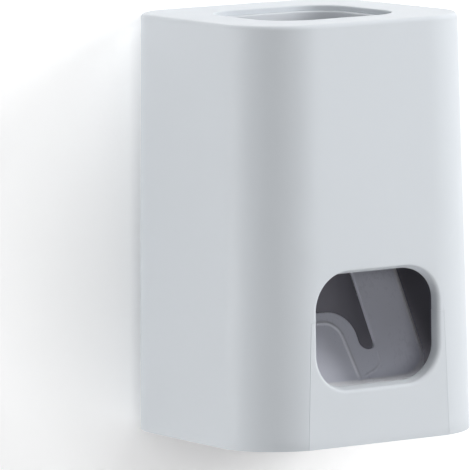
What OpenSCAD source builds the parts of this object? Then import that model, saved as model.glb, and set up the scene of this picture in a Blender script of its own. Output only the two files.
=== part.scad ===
// Wall-mounted toothpaste dispenser: a tapered cover over a hand pump worked by a push lever.
// X runs across the object, Y runs from the room (negative) to the wall (zero), Z runs up.
// The origin is the middle of the pad that sticks to the wall.

/* [Cover] */
// Height of the cover
cover_h = 120; // [116:1:140]
// Depth of the cover from the wall to its front face
cover_d = 75; // [72:1:90]
// Width of the cover's front at its bottom edge
cover_w = 82; // [78:1:96]
// How much narrower the cover is at the top than at the bottom
cover_taper = 5; // [0:0.5:7]
// How much narrower the cover is at the wall than at the front
cover_rear_in = 3; // [0:0.5:5]
// Radius of the two upright front corners
front_r = 19.5; // [14:0.5:22]
// Radius of the two upright corners beside the wall
rear_r = 16; // [12:0.5:17]
// Thickness of the cover's walls
cover_wall = 2.2; // [1.8:0.1:3]
// Thickness of the cover's top
cover_top_t = 1.6; // [1.2:0.1:2.4]
// Rounding of the cover's top edge
top_edge_r = 1.2; // [0.6:0.1:2]

/* [Tube opening] */
// Width of the opening that the tube goes into
hole_w = 44; // [40:1:48]
// Depth of the opening that the tube goes into
hole_d = 42; // [38:1:44]
// Corner radius of the tube opening
hole_r = 12; // [8:0.5:16]
// Ledge that the inner guide shows round the tube opening
guide_ledge = 1.2; // [0.6:0.1:2]
// Thickness of the inner guide's sleeve and flange
guide_wall = 1.5; // [1.2:0.1:2]
// How far the guide's flange reaches past its sleeve
guide_flange = 4; // [2.5:0.5:5]
// Depth of the guide's sleeve below the ceiling of the cover
guide_l = 13.6; // [8:0.1:14]

/* [Brush window] */
// Width of the window
window_w = 42.8; // [38:0.2:46]
// Height of the window
window_h = 33.6; // [28:0.2:36]
// Corner radius of the window
window_r = 11; // [7:0.5:13]
// Height of the window's lower edge above the cover's bottom edge
window_z = 15.6; // [13:0.2:18]
// Depth of the rim that runs inward round the window
rim_d = 5; // [3:0.5:7]
// Thickness of that rim
rim_t = 1.4; // [1:0.1:2]
// Half width of the sill insert at the cover's bottom edge
sill_half_w = 24.1; // [23:0.1:26]
// Half width of the sill insert at its top
sill_half_w_top = 22.8; // [22.8:0.1:24]
// Height of the sill insert's two horns
sill_h = 36; // [30:0.5:38]

/* [Back plate] */
// Width of the back plate's web
plate_w = 38.8; // [32:0.2:40]
// Height of the back plate
plate_h = 89; // [84:1:94]
// Height of the back plate's lower edge above the cover's bottom edge
plate_z = 12; // [8:1:14]
// Thickness of the back plate
plate_t = 2.6; // [2:0.1:3.2]
// How far each rail reaches past the web
rail_reach = 3.6; // [2.5:0.1:4]
// Thickness of the adhesive pad
pad_t = 1; // [0.6:0.1:1.4]
// Bare border of the back plate round the adhesive pad
pad_border = 2; // [1:0.5:4]

/* [Pump] */
// Distance of the tube's axis from the wall
tube_reach = 39; // [38:0.5:41]
// Height of the pump chamber's axis
pump_z = 79; // [78.5:0.5:80]
// Outer radius of the pump chamber
chamber_r = 12; // [11.6:0.1:12.2]
// Radius of the chamber's bore
chamber_bore_r = 9.5; // [9:0.1:10]
// Length of the pump chamber
chamber_l = 18.3; // [17.5:0.1:20]
// Radius of the inlet passage
inlet_r = 3.6; // [3.2:0.1:3.8]
// Wall of the inlet column
inlet_wall = 1.2; // [1:0.1:1.4]
// Radius of the hole that takes the tube's neck
neck_r = 6.5; // [5.5:0.1:7]
// Outer radius of the soft tube seat
seat_r = 15.1; // [14:0.1:16]
// Height of the soft tube seat
seat_h = 7.8; // [7:0.1:9]
// Height of the tube seat's straight bore
neck_l = 4.8; // [4.5:0.1:5.5]
// Thickness of the valves' flanges
valve_t = 1.2; // [0.8:0.1:1.6]
// Height of the soft bulb's dome
dome_h = 5; // [4.8:0.1:5.4]
// Thickness of the soft bulb's flange
bulb_t = 1.5; // [1.2:0.1:1.8]
// How far the nozzle's axis lies in front of the tube's axis
nozzle_ahead = 5.5; // [5:0.1:6]
// Height of the nozzle's tip above the cover's bottom edge
nozzle_z = 53; // [52:0.5:54]
// Bore of the nozzle
nozzle_bore_r = 3.2; // [2.8:0.1:3.4]

/* [Frame] */
// Thickness of the frame's back panel
frame_t = 3; // [2.4:0.1:3.4]
// Half the gap between the frame's two cheeks
cheek_in = 13; // [12.9:0.1:13.4]
// Thickness of each cheek
cheek_t = 3; // [2.5:0.1:3.2]
// Height of the frame's panel
panel_h = 46; // [44:1:47]
// Radius of a screw's shank
screw_r = 1.5; // [1.2:0.1:1.7]
// Radius of a screw's head
screw_head_r = 2.7; // [2.4:0.1:3]

/* [Lever] */
// How far the hinge axis lies behind the tube's axis
hinge_behind = 19; // [18.5:0.1:19.5]
// Height of the hinge axis above the cover's bottom edge
hinge_z = 66; // [65.5:0.1:66.2]
// Radius of the hinge pin
pin_r = 1.5; // [1.2:0.1:1.8]
// Lean of the lever at rest, from upright
lever_lean = 30; // [28:0.5:31]
// Furthest that the lever turns toward the wall
lever_travel = 20; // [14:1:20]
// Half width of the lever
lever_half_w = 33.5; // [32:0.1:34.5]
// Length of the lever from the hinge axis to its lower edge
lever_l = 62.5; // [60:0.1:63]
// Thickness of the lever's plate
lever_t = 2.4; // [2:0.1:3]
// How far the lever's front face lies in front of the hinge axis
lever_off = 4; // [3.8:0.1:4.2]
// Radius of the lever's two lower corners
lever_r = 9.3; // [6:0.1:11]
// Height of the rim that runs rearward round the lever's edge
lever_rim = 7.5; // [5:0.1:8]
// Thickness of that rim
lever_rim_t = 2; // [1.6:0.1:2.4]
// Half width of the tongue that the toothbrush pushes
tongue_half_w = 11.7; // [9:0.1:12.5]
// Distance of the tongue's tip from the hinge axis
tongue_top = 39.3; // [37:0.1:42]
// Radius of the tongue's two upper corners
tongue_r = 8; // [5:0.1:9]
// Width of the slot on each side of the tongue
slot_w = 5.3; // [4.4:0.1:6]
// Distance from the hinge axis to the lower ends of the slots
slot_end = 52.2; // [50:0.1:54]
// Height of the ridge round the tongue's brush rest
ridge_h = 0.5; // [0.3:0.1:0.8]
// Radius of the crossbar that works the pump
bar_r = 2.5; // [2.2:0.1:2.7]
// How far the crossbar's axis lies behind the tube's axis at rest
bar_behind = 25; // [24.8:0.1:25.2]

/* [Hidden] */
$fn = 64;

// Clearances
wall_gap = 0.4;
fit_gap = 0.05;
slip_gap = 0.3;
over = 1;

// Heights
mount_z = plate_z + plate_h / 2;
ceiling_z = cover_h - cover_top_t;
cup_z = pump_z + chamber_r + over;
cup_floor_t = 2;
seat_z = cup_z + cup_floor_t;
seat_top_z = seat_z + seat_h;
cup_top_z = seat_z + seat_h / 2;
ring_lip_t = 1.8;
ring_top_z = seat_top_z + ring_lip_t;
guide_z = ceiling_z - guide_l;

// Distances from the wall
hinge_reach = tube_reach - hinge_behind;
bar_reach = tube_reach - bar_behind;
nozzle_reach = tube_reach + nozzle_ahead;
plate_front = pad_t + plate_t;
rail_back = wall_gap + cover_wall + 0.5;
rail_t = 2.4;
panel_front = plate_front + frame_t;
bar_rise = pump_z - hinge_z;
bar_rear = hinge_reach - bar_reach;
lever_stroke = bar_rise * sin(lever_travel) + bar_rear * (1 - cos(lever_travel));
pusher_rear = bar_reach + bar_r + slip_gap;
cap_rear = pusher_rear + lever_stroke + 0.5;
cap_end_t = 1.4;
disc_rear = cap_rear + cap_end_t + 0.2;
disc_t = 1.4;
dome_rear = disc_rear + disc_t + slip_gap;
flange_rear = dome_rear + dome_h;
chamber_rear = flange_rear + bulb_t;
chamber_front = chamber_rear + chamber_l;
chamber_end_t = 3;

// Tabs that hold the sill insert behind the cover
tab_in = 5;
tab_z = 3;
tab_w = 7;
tab_t = 2.5;
tab_h = 5;

// Pump details
cap_t = 1.4;
cap_r = chamber_r + 0.6;
neck_step_r = cap_r - cap_t - fit_gap;
skirt_l = tube_reach - inlet_r - inlet_wall - slip_gap - chamber_rear;
dome_r = 8.5;
dome_t = 1.2;
stem_r = 3;
disc_r = 6.2;
cup_wall = 1.5;
cup_r = seat_r + fit_gap + cup_wall;
ring_wall = 2;
ring_r = cup_r + fit_gap + ring_wall;
ring_mouth_r = 13;
valve_flange_r = 8;
lip_r = 12.5;
spigot_r = 5.5;
nozzle_taper_l = 6.8;
nozzle_grip_l = 5.4;
nozzle_wall = 1.5;
nozzle_tip_t = 1;
nozzle_seal_t = 1.2;
spigot_z = nozzle_z + nozzle_taper_l;
nozzle_top_z = spigot_z + nozzle_grip_l;
boss_w = 8;
boss_ahead = 3;
boss_reach = tube_reach + boss_ahead;

// Duck-bill valves
bill_wall = 1;
bill_tip_r = 1.4;
bill_tip_t = 0.8;
bill_cut = 0.3;
bill_gap = 0.4;
inlet_bill_l = 9;
outlet_bill_l = 5;

// Frame details
panel_z = 52;
cheek_rise = 7;
cheek_ahead = 6;
cheek_out = cheek_in + cheek_t;
cheek_z = 58;
cheek_top_z = pump_z + cheek_rise;
cheek_reach = boss_reach + cheek_ahead;
screw_head_t = 2;
frame_screw_x = 9;
frame_screw_inset = 5;
peg_r = 1.2;
bumper_w = 20;
bumper_h = 5;
plate_screw_bite = 2;

// Lever details
hub_in = cheek_out + 6.2;
hub_l = 6;
hub_out = hub_in + hub_l;
hub_r = 4.2;
arm_in = tongue_half_w + slot_w;
slot_r = slot_w / 2;
shoulder_low = 26;
shoulder_high = 12;
bar_back = bar_rise * cos(lever_lean) + bar_rear * sin(lever_lean);
bar_off = bar_rise * sin(lever_lean) - bar_rear * cos(lever_lean);
clip_t = 0.8;
clip_r = 3;
pin_half_l = hub_out + slip_gap + clip_t + 0.6;
coil_in_r = pin_r + 0.7;
wire_r = 0.6;
coil_r = coil_in_r + 2 * wire_r;
coil_l = hub_in - cheek_out - 2 * slip_gap;
leg_x = arm_in + 1.8;
leg_l = 34;
rear_leg_l = 9;
peg_z = 7.5;
shelf_z = hinge_z + peg_z + peg_r + 0.3;
ridge_w = 1;
ridge_top = tongue_top + 3.2;
ridge_half_top = 6;
ridge_half_low = 8.2;

// Colours
cover_colour = [0.88, 0.90, 0.92];
inner_colour = [0.83, 0.85, 0.87];
frame_colour = [0.25, 0.25, 0.28];
lever_colour = [0.50, 0.51, 0.57];
soft_colour = [0.72, 0.73, 0.76];
steel_colour = [0.75, 0.76, 0.78];

// Puts a piece, drawn with heights above the cover's bottom edge, into the part's frame
module at_wall() { translate([0, 0, -mount_z]) children(); }

// Cylinder along X between two places
module rod_x(r, x0, x1) {
    translate([x0, 0, 0]) rotate([0, 90, 0]) cylinder(h = x1 - x0, r = r);
}

// Cylinder along Y between two distances from the wall
module rod_y(r, near, far) {
    translate([0, -near, 0]) rotate([90, 0, 0]) cylinder(h = far - near, r = r);
}

// Flat shape in X and Z carried between two distances from the wall
module slab_y(near, far) {
    translate([0, -near, 0]) rotate([90, 0, 0]) linear_extrude(far - near) children();
}

// Profile of radius against distance from the wall, turned about an axis along Y
module turned_y() { rotate([90, 0, 0]) rotate_extrude() children(); }

module mirrored() { children(); mirror([1, 0, 0]) children(); }

// Rectangle with four true round corners, centred
module round_rect(w, h, r) {
    square([w - 2 * r, h], center = true);
    square([w, h - 2 * r], center = true);
    for (x = [-1, 1], y = [-1, 1])
        translate([x * (w / 2 - r), y * (h / 2 - r)]) circle(r);
}

function unit(v) = v / norm(v);

// Points of the arc of radius r that rounds the corner p between the neighbours a and b
function corner_arc(a, p, b, r, steps = 10) =
    let(u = unit(a - p), v = unit(b - p), half = acos(u * v) / 2,
        c = p + unit(u + v) * r / sin(half), s = p + u * r / tan(half),
        start = atan2(s.y - c.y, s.x - c.x), sweep = 180 - 2 * half)
    [for (i = [0 : steps]) c + r * [cos(start + sweep * i / steps), sin(start + sweep * i / steps)]];

// Plan of the cover at a height, drawn in by an inset; the rear edge has an inset of its own
function cover_plan(z, inset, rear_inset) =
    let(half = (cover_w - cover_taper * z / cover_h) / 2 - inset,
        rear_half = half - cover_rear_in / 2,
        rear = -wall_gap - rear_inset, front = -cover_d + inset,
        p = [[-rear_half, rear], [-half, front], [half, front], [rear_half, rear]],
        r = [rear_r - inset, front_r - inset, front_r - inset, rear_r - inset])
    [for (i = [0 : 3]) each corner_arc(p[(i + 3) % 4], p[i], p[(i + 1) % 4], r[i])];

// Thin level slice of the cover's form
module cover_slice(z, inset, rear_inset) {
    translate([0, 0, z]) linear_extrude(0.01) polygon(cover_plan(z, inset, rear_inset));
}

// Outside of the cover as a solid, with its rounded top edge
module cover_form() {
    hull() {
        cover_slice(0, 0, 0);
        for (a = [0 : 22.5 : 90])
            cover_slice(cover_h - 0.01 - top_edge_r * (1 - sin(a)), top_edge_r * (1 - cos(a)),
                        top_edge_r * (1 - cos(a)));
    }
}

// Space inside the cover
module cover_hollow() {
    hull() {
        cover_slice(-over, cover_wall, cover_wall);
        cover_slice(ceiling_z - 0.01, cover_wall, cover_wall);
    }
}

module window_shape(grow = 0) {
    translate([0, window_z + window_h / 2])
        round_rect(window_w + 2 * grow, window_h + 2 * grow, window_r + grow);
}

// Outline of the sill insert; the gap makes the cover's notch a little larger
module sill_shape(gap = 0) {
    polygon([[-sill_half_w - gap, -over], [sill_half_w + gap, -over], [sill_half_w + gap, 0],
             [sill_half_w_top + gap, sill_h + gap], [-sill_half_w_top - gap, sill_h + gap],
             [-sill_half_w - gap, 0]]);
}

// Keeps the part of a flat shape that lies above the cover's bottom edge
module above_bottom() {
    intersection() {
        children();
        translate([-cover_w, 0]) square([2 * cover_w, cover_h]);
    }
}

module cover_shell() at_wall() color(cover_colour) difference() {
    union() {
        difference() {
            cover_form();
            cover_hollow();
        }
        slab_y(cover_d - rim_d, cover_d - cover_wall / 2) window_shape(rim_t);
    }
    slab_y(cover_d - rim_d - over, cover_d + over) window_shape();
    slab_y(cover_d - rim_d - over, cover_d + over) sill_shape(fit_gap);
    translate([0, -tube_reach, ceiling_z - over])
        linear_extrude(cover_top_t + 2 * over) round_rect(hole_w, hole_d, hole_r);
    translate([-plate_w / 2 - slip_gap, -wall_gap - cover_wall - over, -over])
        cube([plate_w + 2 * slip_gap, cover_wall + 2 * over, plate_z + plate_h + slip_gap + over]);
}

module sill_insert() at_wall() color(cover_colour) difference() {
    union() {
        slab_y(cover_d - cover_wall, cover_d) above_bottom() sill_shape();
        slab_y(cover_d - rim_d, cover_d - cover_wall / 2) intersection() {
            window_shape(rim_t);
            sill_shape();
        }
        mirrored() intersection() {
            translate([sill_half_w - tab_in, -cover_d + cover_wall, tab_z]) cube([tab_w, tab_t, tab_h]);
            cover_hollow();
        }
    }
    slab_y(cover_d - rim_d - over, cover_d + over) window_shape();
}

module tube_guide() at_wall() color(inner_colour) translate([0, -tube_reach, 0]) difference() {
    union() {
        translate([0, 0, guide_z]) linear_extrude(ceiling_z - guide_z)
            round_rect(hole_w + 2 * (guide_wall - guide_ledge), hole_d + 2 * (guide_wall - guide_ledge),
                       hole_r + guide_wall - guide_ledge);
        translate([0, 0, ceiling_z - guide_wall]) linear_extrude(guide_wall)
            round_rect(hole_w + 2 * guide_flange, hole_d + 2 * guide_flange, hole_r + guide_flange);
    }
    translate([0, 0, guide_z - over]) linear_extrude(ceiling_z - guide_z + 2 * over)
        round_rect(hole_w - 2 * guide_ledge, hole_d - 2 * guide_ledge, hole_r - guide_ledge);
}

// Places of the screws that hold the frame to the back plate
module at_frame_screws() {
    for (x = [-frame_screw_x, frame_screw_x], z = [frame_screw_inset, panel_h - frame_screw_inset])
        translate([x, 0, panel_z + z]) children();
}

module back_plate() at_wall() color(frame_colour) difference() {
    union() {
        translate([-plate_w / 2, -plate_front, plate_z]) cube([plate_w, plate_t, plate_h]);
        mirrored() translate([plate_w / 2 - rail_t, -rail_back - rail_t, plate_z])
            cube([rail_reach + rail_t, rail_t, plate_h]);
    }
    at_frame_screws()
        rod_y(screw_r + fit_gap, plate_front - plate_screw_bite - fit_gap, plate_front + over);
}

module adhesive_pad() at_wall() color(soft_colour)
    slab_y(0, pad_t) translate([0, mount_z])
        round_rect(plate_w - 2 * pad_border, plate_h - 2 * pad_border, 4);

// Places of the screws that hold the chamber between the cheeks
module at_chamber_screws() { mirrored() translate([0, -boss_reach, pump_z]) children(); }

// Side of a cheek: a low shelf under the crossbar's path, then the full height beside the chamber
module cheek_side() {
    polygon([[-cheek_z, -plate_front - over], [-cheek_z, -cheek_reach], [-cheek_top_z, -cheek_reach],
             [-cheek_top_z, -chamber_rear], [-shelf_z, -cap_rear - over],
             [-shelf_z, -plate_front - over]]);
}

module pump_frame() at_wall() color(frame_colour) difference() {
    union() {
        translate([-cheek_out, -panel_front, panel_z]) cube([2 * cheek_out, frame_t, panel_h]);
        mirrored() {
            translate([cheek_in, 0, 0]) rotate([0, 90, 0]) linear_extrude(cheek_t) cheek_side();
            translate([0, -hinge_reach + coil_r - wire_r + peg_r + 1, hinge_z + peg_z])
                rod_x(peg_r, cheek_out - over, hub_in - slip_gap);
        }
    }
    translate([0, -hinge_reach, hinge_z]) rod_x(pin_r + fit_gap, -cheek_out - over, cheek_out + over);
    at_frame_screws() rod_y(screw_r + fit_gap, plate_front - over, panel_front + over);
    at_chamber_screws() rod_x(screw_r + fit_gap, cheek_in - over, cheek_out + over);
}

module frame_screws() at_wall() color(steel_colour) at_frame_screws() difference() {
    union() {
        rod_y(screw_r, plate_front - plate_screw_bite, panel_front + over / 2);
        rod_y(screw_head_r, panel_front, panel_front + screw_head_t);
    }
    slab_y(panel_front + screw_head_t - 0.9, panel_front + screw_head_t + over) {
        square([3.2, 0.8], center = true);
        square([0.8, 3.2], center = true);
    }
}

module pump_chamber() at_wall() color(inner_colour) difference() {
    union() {
        translate([0, 0, pump_z]) {
            rod_y(chamber_r, chamber_rear + skirt_l, chamber_front);
            rod_y(neck_step_r, chamber_rear, chamber_front);
        }
        mirrored() translate([0, -boss_reach - boss_w / 2, pump_z - boss_w / 2])
            cube([cheek_in, boss_w, boss_w]);
        translate([0, -tube_reach, pump_z]) cylinder(h = cup_z - pump_z, r = inlet_r + inlet_wall);
        translate([0, -tube_reach, cup_z]) cylinder(h = cup_top_z - cup_z, r = cup_r);
        translate([0, -nozzle_reach, spigot_z]) cylinder(h = pump_z - spigot_z, r = spigot_r);
    }
    translate([0, 0, pump_z]) rod_y(chamber_bore_r, chamber_rear - over, chamber_front - chamber_end_t);
    translate([0, -tube_reach, pump_z]) cylinder(h = cup_z - pump_z + over, r = inlet_r);
    translate([0, -tube_reach, cup_z - over]) cylinder(h = cup_floor_t + 2 * over, r = inlet_r);
    translate([0, -tube_reach, seat_z - valve_t])
        cylinder(h = valve_t + over, r = valve_flange_r + fit_gap);
    translate([0, -tube_reach, seat_z]) cylinder(h = seat_h, r = seat_r + fit_gap);
    translate([0, -nozzle_reach, spigot_z - over]) cylinder(h = pump_z - spigot_z, r = nozzle_bore_r);
    at_chamber_screws() rod_x(screw_r + fit_gap, chamber_bore_r + 0.8, cheek_in + over);
}

module chamber_screws() at_wall() color(steel_colour) at_chamber_screws() difference() {
    union() {
        rod_x(screw_r, chamber_bore_r + 1, cheek_out + over / 2);
        rod_x(screw_head_r, cheek_out, cheek_out + screw_head_t);
    }
    translate([cheek_out + screw_head_t - 0.9, 0, 0]) {
        translate([0, -1.6, -0.4]) cube([2, 3.2, 0.8]);
        translate([0, -0.4, -1.6]) cube([2, 0.8, 3.2]);
    }
}

module tube_seat() at_wall() color(soft_colour) translate([0, -tube_reach, seat_z]) rotate_extrude()
    polygon([[neck_r, 0], [seat_r, 0], [seat_r, seat_h], [lip_r, seat_h], [neck_r, neck_l]]);

module seat_ring() at_wall() color(frame_colour) translate([0, -tube_reach, cup_z]) rotate_extrude()
    polygon([[cup_r + fit_gap, 0], [ring_r, 0], [ring_r, ring_top_z - cup_z],
             [ring_mouth_r, ring_top_z - cup_z], [ring_mouth_r, seat_top_z - cup_z],
             [cup_r + fit_gap, seat_top_z - cup_z]]);

// Duck-bill valve: a flange with a hollow taper below it, split at its tip
module duck_bill(flange_r, body_r, length) {
    difference() {
        rotate_extrude() polygon([[body_r - bill_wall, 0], [flange_r, 0], [flange_r, -valve_t],
            [body_r, -valve_t], [body_r, -length * 0.4], [bill_tip_r, -length], [0, -length],
            [0, -length + bill_tip_t], [bill_tip_r - bill_tip_t, -length + bill_tip_t],
            [body_r - bill_wall, -length * 0.4]]);
        translate([-body_r, -bill_cut / 2, -length - over])
            cube([2 * body_r, bill_cut, length * 0.35 + over]);
    }
}

module inlet_valve() at_wall() color(soft_colour)
    translate([0, -tube_reach, seat_z]) duck_bill(valve_flange_r, inlet_r - bill_gap, inlet_bill_l);

module outlet_valve() at_wall() color(soft_colour)
    translate([0, -nozzle_reach, spigot_z])
        duck_bill(spigot_r - 2 * fit_gap, nozzle_bore_r - slip_gap, outlet_bill_l);

module bulb() at_wall() color(soft_colour) translate([0, -chamber_rear, pump_z]) turned_y()
    polygon([[0, -bulb_t - dome_h], [dome_r * 0.45, -bulb_t - dome_h],
             [dome_r * 0.85, -bulb_t - dome_h * 0.6], [dome_r, -bulb_t],
             [neck_step_r, -bulb_t], [neck_step_r, 0], [dome_r - dome_t, 0],
             [dome_r - dome_t, -bulb_t],
             [dome_r * 0.85 - dome_t, -bulb_t - dome_h * 0.6 + dome_t * 0.5],
             [dome_r * 0.45 - dome_t * 0.5, -bulb_t - dome_h + dome_t],
             [0, -bulb_t - dome_h + dome_t]]);

module bulb_cap() at_wall() color(frame_colour) translate([0, 0, pump_z]) difference() {
    rod_y(cap_r, cap_rear, chamber_rear + skirt_l - fit_gap);
    rod_y(stem_r + fit_gap, cap_rear - over, chamber_rear);
    rod_y(dome_r + 0.4, cap_rear + cap_end_t, chamber_rear);
    rod_y(neck_step_r + fit_gap, flange_rear, chamber_rear + skirt_l + over);
}

module pusher() at_wall() color(lever_colour) translate([0, 0, pump_z]) {
    rod_y(stem_r, pusher_rear, disc_rear + disc_t / 2);
    rod_y(disc_r, disc_rear, disc_rear + disc_t);
}

module nozzle() at_wall() color(soft_colour) translate([0, -nozzle_reach, 0]) difference() {
    union() {
        translate([0, 0, spigot_z - valve_t])
            cylinder(h = nozzle_top_z - spigot_z + valve_t, r = spigot_r + nozzle_wall);
        translate([0, 0, nozzle_z])
            cylinder(h = spigot_z - valve_t - nozzle_z, r1 = nozzle_bore_r + nozzle_tip_t,
                     r2 = spigot_r + nozzle_wall);
    }
    translate([0, 0, nozzle_z - over])
        cylinder(h = spigot_z - nozzle_z + 2 * over, r = nozzle_bore_r);
    translate([0, 0, spigot_z - valve_t])
        cylinder(h = nozzle_top_z - spigot_z + 2 * over, r = spigot_r + fit_gap);
}

module nozzle_seal() at_wall() color(frame_colour)
    translate([0, -nozzle_reach, nozzle_top_z]) difference() {
        cylinder(h = nozzle_seal_t, r = spigot_r + nozzle_wall);
        translate([0, 0, -over]) cylinder(h = nozzle_seal_t + 2 * over, r = spigot_r + fit_gap);
    }

// Shape of the lever's whole plate, hinge axis at the origin, downward along the lever as minus Y
module lever_outline(inset = 0) {
    half = lever_half_w - inset;
    r = lever_r - inset;
    foot = -lever_l + inset;
    translate([-half + r, foot]) square([2 * (half - r), lever_l - shoulder_low]);
    translate([-half, foot + r]) square([2 * half, lever_l - shoulder_low - r - inset]);
    mirrored() translate([half - r, foot + r]) circle(r);
    mirrored() polygon([[half, -shoulder_low - 0.01], [hub_out - inset, -shoulder_high],
                        [hub_out - inset, bar_back], [hub_in, bar_back],
                        [hub_in, -shoulder_high], [arm_in, -shoulder_low - 0.01]]);
}

// Space above the tongue and the two slots beside it
module lever_gap() {
    difference() {
        translate([-arm_in, -slot_end + slot_r]) square([2 * arm_in, slot_end]);
        translate([-tongue_half_w, -lever_l])
            square([2 * tongue_half_w, lever_l - tongue_top - tongue_r]);
        translate([-tongue_half_w + tongue_r, -lever_l])
            square([2 * (tongue_half_w - tongue_r), lever_l - tongue_top]);
        mirrored() translate([tongue_half_w - tongue_r, -tongue_top - tongue_r]) circle(tongue_r);
    }
    mirrored() translate([tongue_half_w + slot_r, -slot_end + slot_r]) circle(slot_r);
}

// Arch of the brush rest on the tongue
module rest_arch(inset = 0) {
    low = ridge_half_low - inset;
    high = ridge_half_top - inset;
    spring = -ridge_top - ridge_half_top;
    polygon([[-low, -lever_l + 2], [low, -lever_l + 2], [high, spring], [-high, spring]]);
    translate([0, spring]) intersection() {
        circle(high);
        translate([-high, -0.01]) square([2 * high, 2 * high]);
    }
}

// Carries a flat lever shape between two distances in front of the hinge axis
module lever_layer(near, far) {
    translate([0, -near, 0]) rotate([90, 0, 0]) linear_extrude(far - near) children();
}

// Puts a piece, drawn upright about the hinge axis, into the lever's lean
module in_lever() {
    translate([0, -hinge_reach, hinge_z]) rotate([-lever_lean, 0, 0]) children();
}

module push_lever() at_wall() color(lever_colour) in_lever() difference() {
    union() {
        lever_layer(lever_off - lever_t, lever_off) difference() {
            lever_outline();
            lever_gap();
        }
        lever_layer(lever_off - lever_rim, lever_off - lever_t / 2) difference() {
            lever_outline();
            translate([0, 0.02]) lever_outline(lever_rim_t);
            translate([-lever_half_w - over, -shoulder_high])
                square([2 * lever_half_w + 2 * over, lever_l]);
            lever_gap();
        }
        lever_layer(lever_off - over / 2, lever_off + ridge_h) difference() {
            rest_arch();
            rest_arch(ridge_w);
        }
        mirrored() rod_x(hub_r, hub_in, hub_out);
        translate([0, -bar_off, bar_back]) rod_x(bar_r, -hub_out, hub_out);
    }
    rod_x(pin_r + fit_gap, -hub_out - over, hub_out + over);
}

module hinge_pin() at_wall() color(steel_colour)
    translate([0, -hinge_reach, hinge_z]) rod_x(pin_r, -pin_half_l, pin_half_l);

module pin_clips() at_wall() color(steel_colour)
    translate([0, -hinge_reach, hinge_z]) mirrored() difference() {
        rod_x(clip_r, hub_out + slip_gap, hub_out + slip_gap + clip_t);
        rod_x(pin_r + fit_gap, hub_out, pin_half_l);
        translate([hub_out, -0.9, -clip_r - over]) cube([3, 1.8, clip_r + over]);
    }

module return_springs() at_wall() color(steel_colour) mirrored() {
    translate([0, -hinge_reach, hinge_z]) difference() {
        rod_x(coil_r, cheek_out + slip_gap, cheek_out + slip_gap + coil_l);
        rod_x(coil_in_r, cheek_out, hub_in);
    }
    in_lever() translate([leg_x, -lever_off + lever_t + wire_r + fit_gap, -leg_l])
        cylinder(h = leg_l - coil_in_r, r = wire_r);
    translate([cheek_out + 1.5, -hinge_reach + coil_r - wire_r, hinge_z])
        cylinder(h = rear_leg_l, r = wire_r);
}

module stop_bumper() at_wall() color(frame_colour)
    translate([-bumper_w / 2, -bar_reach + bar_r + slip_gap, pump_z - bumper_h / 2])
        cube([bumper_w, bar_reach - bar_r - slip_gap - panel_front, bumper_h]);

cover_shell();
sill_insert();
tube_guide();
back_plate();
adhesive_pad();
pump_frame();
frame_screws();
pump_chamber();
chamber_screws();
tube_seat();
seat_ring();
inlet_valve();
bulb();
bulb_cap();
pusher();
outlet_valve();
nozzle();
nozzle_seal();
push_lever();
hinge_pin();
pin_clips();
return_springs();
stop_bumper();
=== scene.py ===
"""Dresses a wall-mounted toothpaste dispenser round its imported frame.

Sizes are in millimetres and heights are above the cover's bottom edge. Skin.build puts each
mesh into the part's frame, in metres.
"""
import logging
import math
from dataclasses import dataclass
from enum import Enum
from functools import cached_property, reduce
from typing import Any, Sequence

import bmesh
import bpy
import numpy as np
from mathutils import Matrix, Vector


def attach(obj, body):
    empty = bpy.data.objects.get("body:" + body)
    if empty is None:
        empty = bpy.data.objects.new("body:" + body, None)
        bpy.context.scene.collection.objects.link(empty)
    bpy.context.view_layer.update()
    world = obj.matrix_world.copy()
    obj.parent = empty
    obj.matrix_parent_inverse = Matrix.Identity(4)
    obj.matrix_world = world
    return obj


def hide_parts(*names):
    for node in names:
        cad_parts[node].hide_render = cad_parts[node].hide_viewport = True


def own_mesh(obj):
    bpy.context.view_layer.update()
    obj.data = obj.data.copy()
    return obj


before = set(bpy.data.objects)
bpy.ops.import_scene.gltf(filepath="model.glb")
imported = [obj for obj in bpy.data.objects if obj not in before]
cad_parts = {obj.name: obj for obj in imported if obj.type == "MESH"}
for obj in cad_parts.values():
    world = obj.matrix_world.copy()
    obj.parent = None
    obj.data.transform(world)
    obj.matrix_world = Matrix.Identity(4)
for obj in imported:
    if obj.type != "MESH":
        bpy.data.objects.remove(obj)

LOG = logging.getLogger("dispenser")
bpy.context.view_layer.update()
MM = 0.001
ORIGIN_Z = 56.5  # height of the part's origin
CREASE = 38.0  # degrees between two faces, past which their edge stays sharp
CORNER = 0.3  # depth of a round's middle point as a share of its radius, 1 - sin 45 degrees
MIRROR = np.array([-1.0, 1.0, 1.0])
Array = np.ndarray
Triple = tuple[float, float, float]


# Shader helpers

class Signal:
    """A number that a socket gives, with Python arithmetic that adds Math nodes."""

    def __init__(self, shader: "Shader", socket: bpy.types.NodeSocket) -> None:
        """Keeps the shader that the nodes go into and the socket itself."""
        self.shader = shader
        self.socket = socket

    def _math(self, operation: str, first: Any, second: Any) -> "Signal":
        """Adds one Math node.

        Args:
            operation: name of the Math node's operation.
            first: signal or number on its first socket.
            second: signal or number on its second socket.

        Returns:
            The node's value.
        """
        return self.shader.node("ShaderNodeMath", {"operation": operation}, {0: first, 1: second})

    def __add__(self, other: Any) -> "Signal":
        """Sum."""
        return self._math("ADD", self, other)

    def __radd__(self, other: Any) -> "Signal":
        """Sum with a number on the left."""
        return self._math("ADD", other, self)

    def __sub__(self, other: Any) -> "Signal":
        """Difference."""
        return self._math("SUBTRACT", self, other)

    def __rsub__(self, other: Any) -> "Signal":
        """Difference from a number on the left."""
        return self._math("SUBTRACT", other, self)

    def __mul__(self, other: Any) -> "Signal":
        """Product."""
        return self._math("MULTIPLY", self, other)

    def __rmul__(self, other: Any) -> "Signal":
        """Product with a number on the left."""
        return self._math("MULTIPLY", other, self)

    def larger(self, other: Any) -> "Signal":
        """The larger of the two."""
        return self._math("MAXIMUM", self, other)


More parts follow.
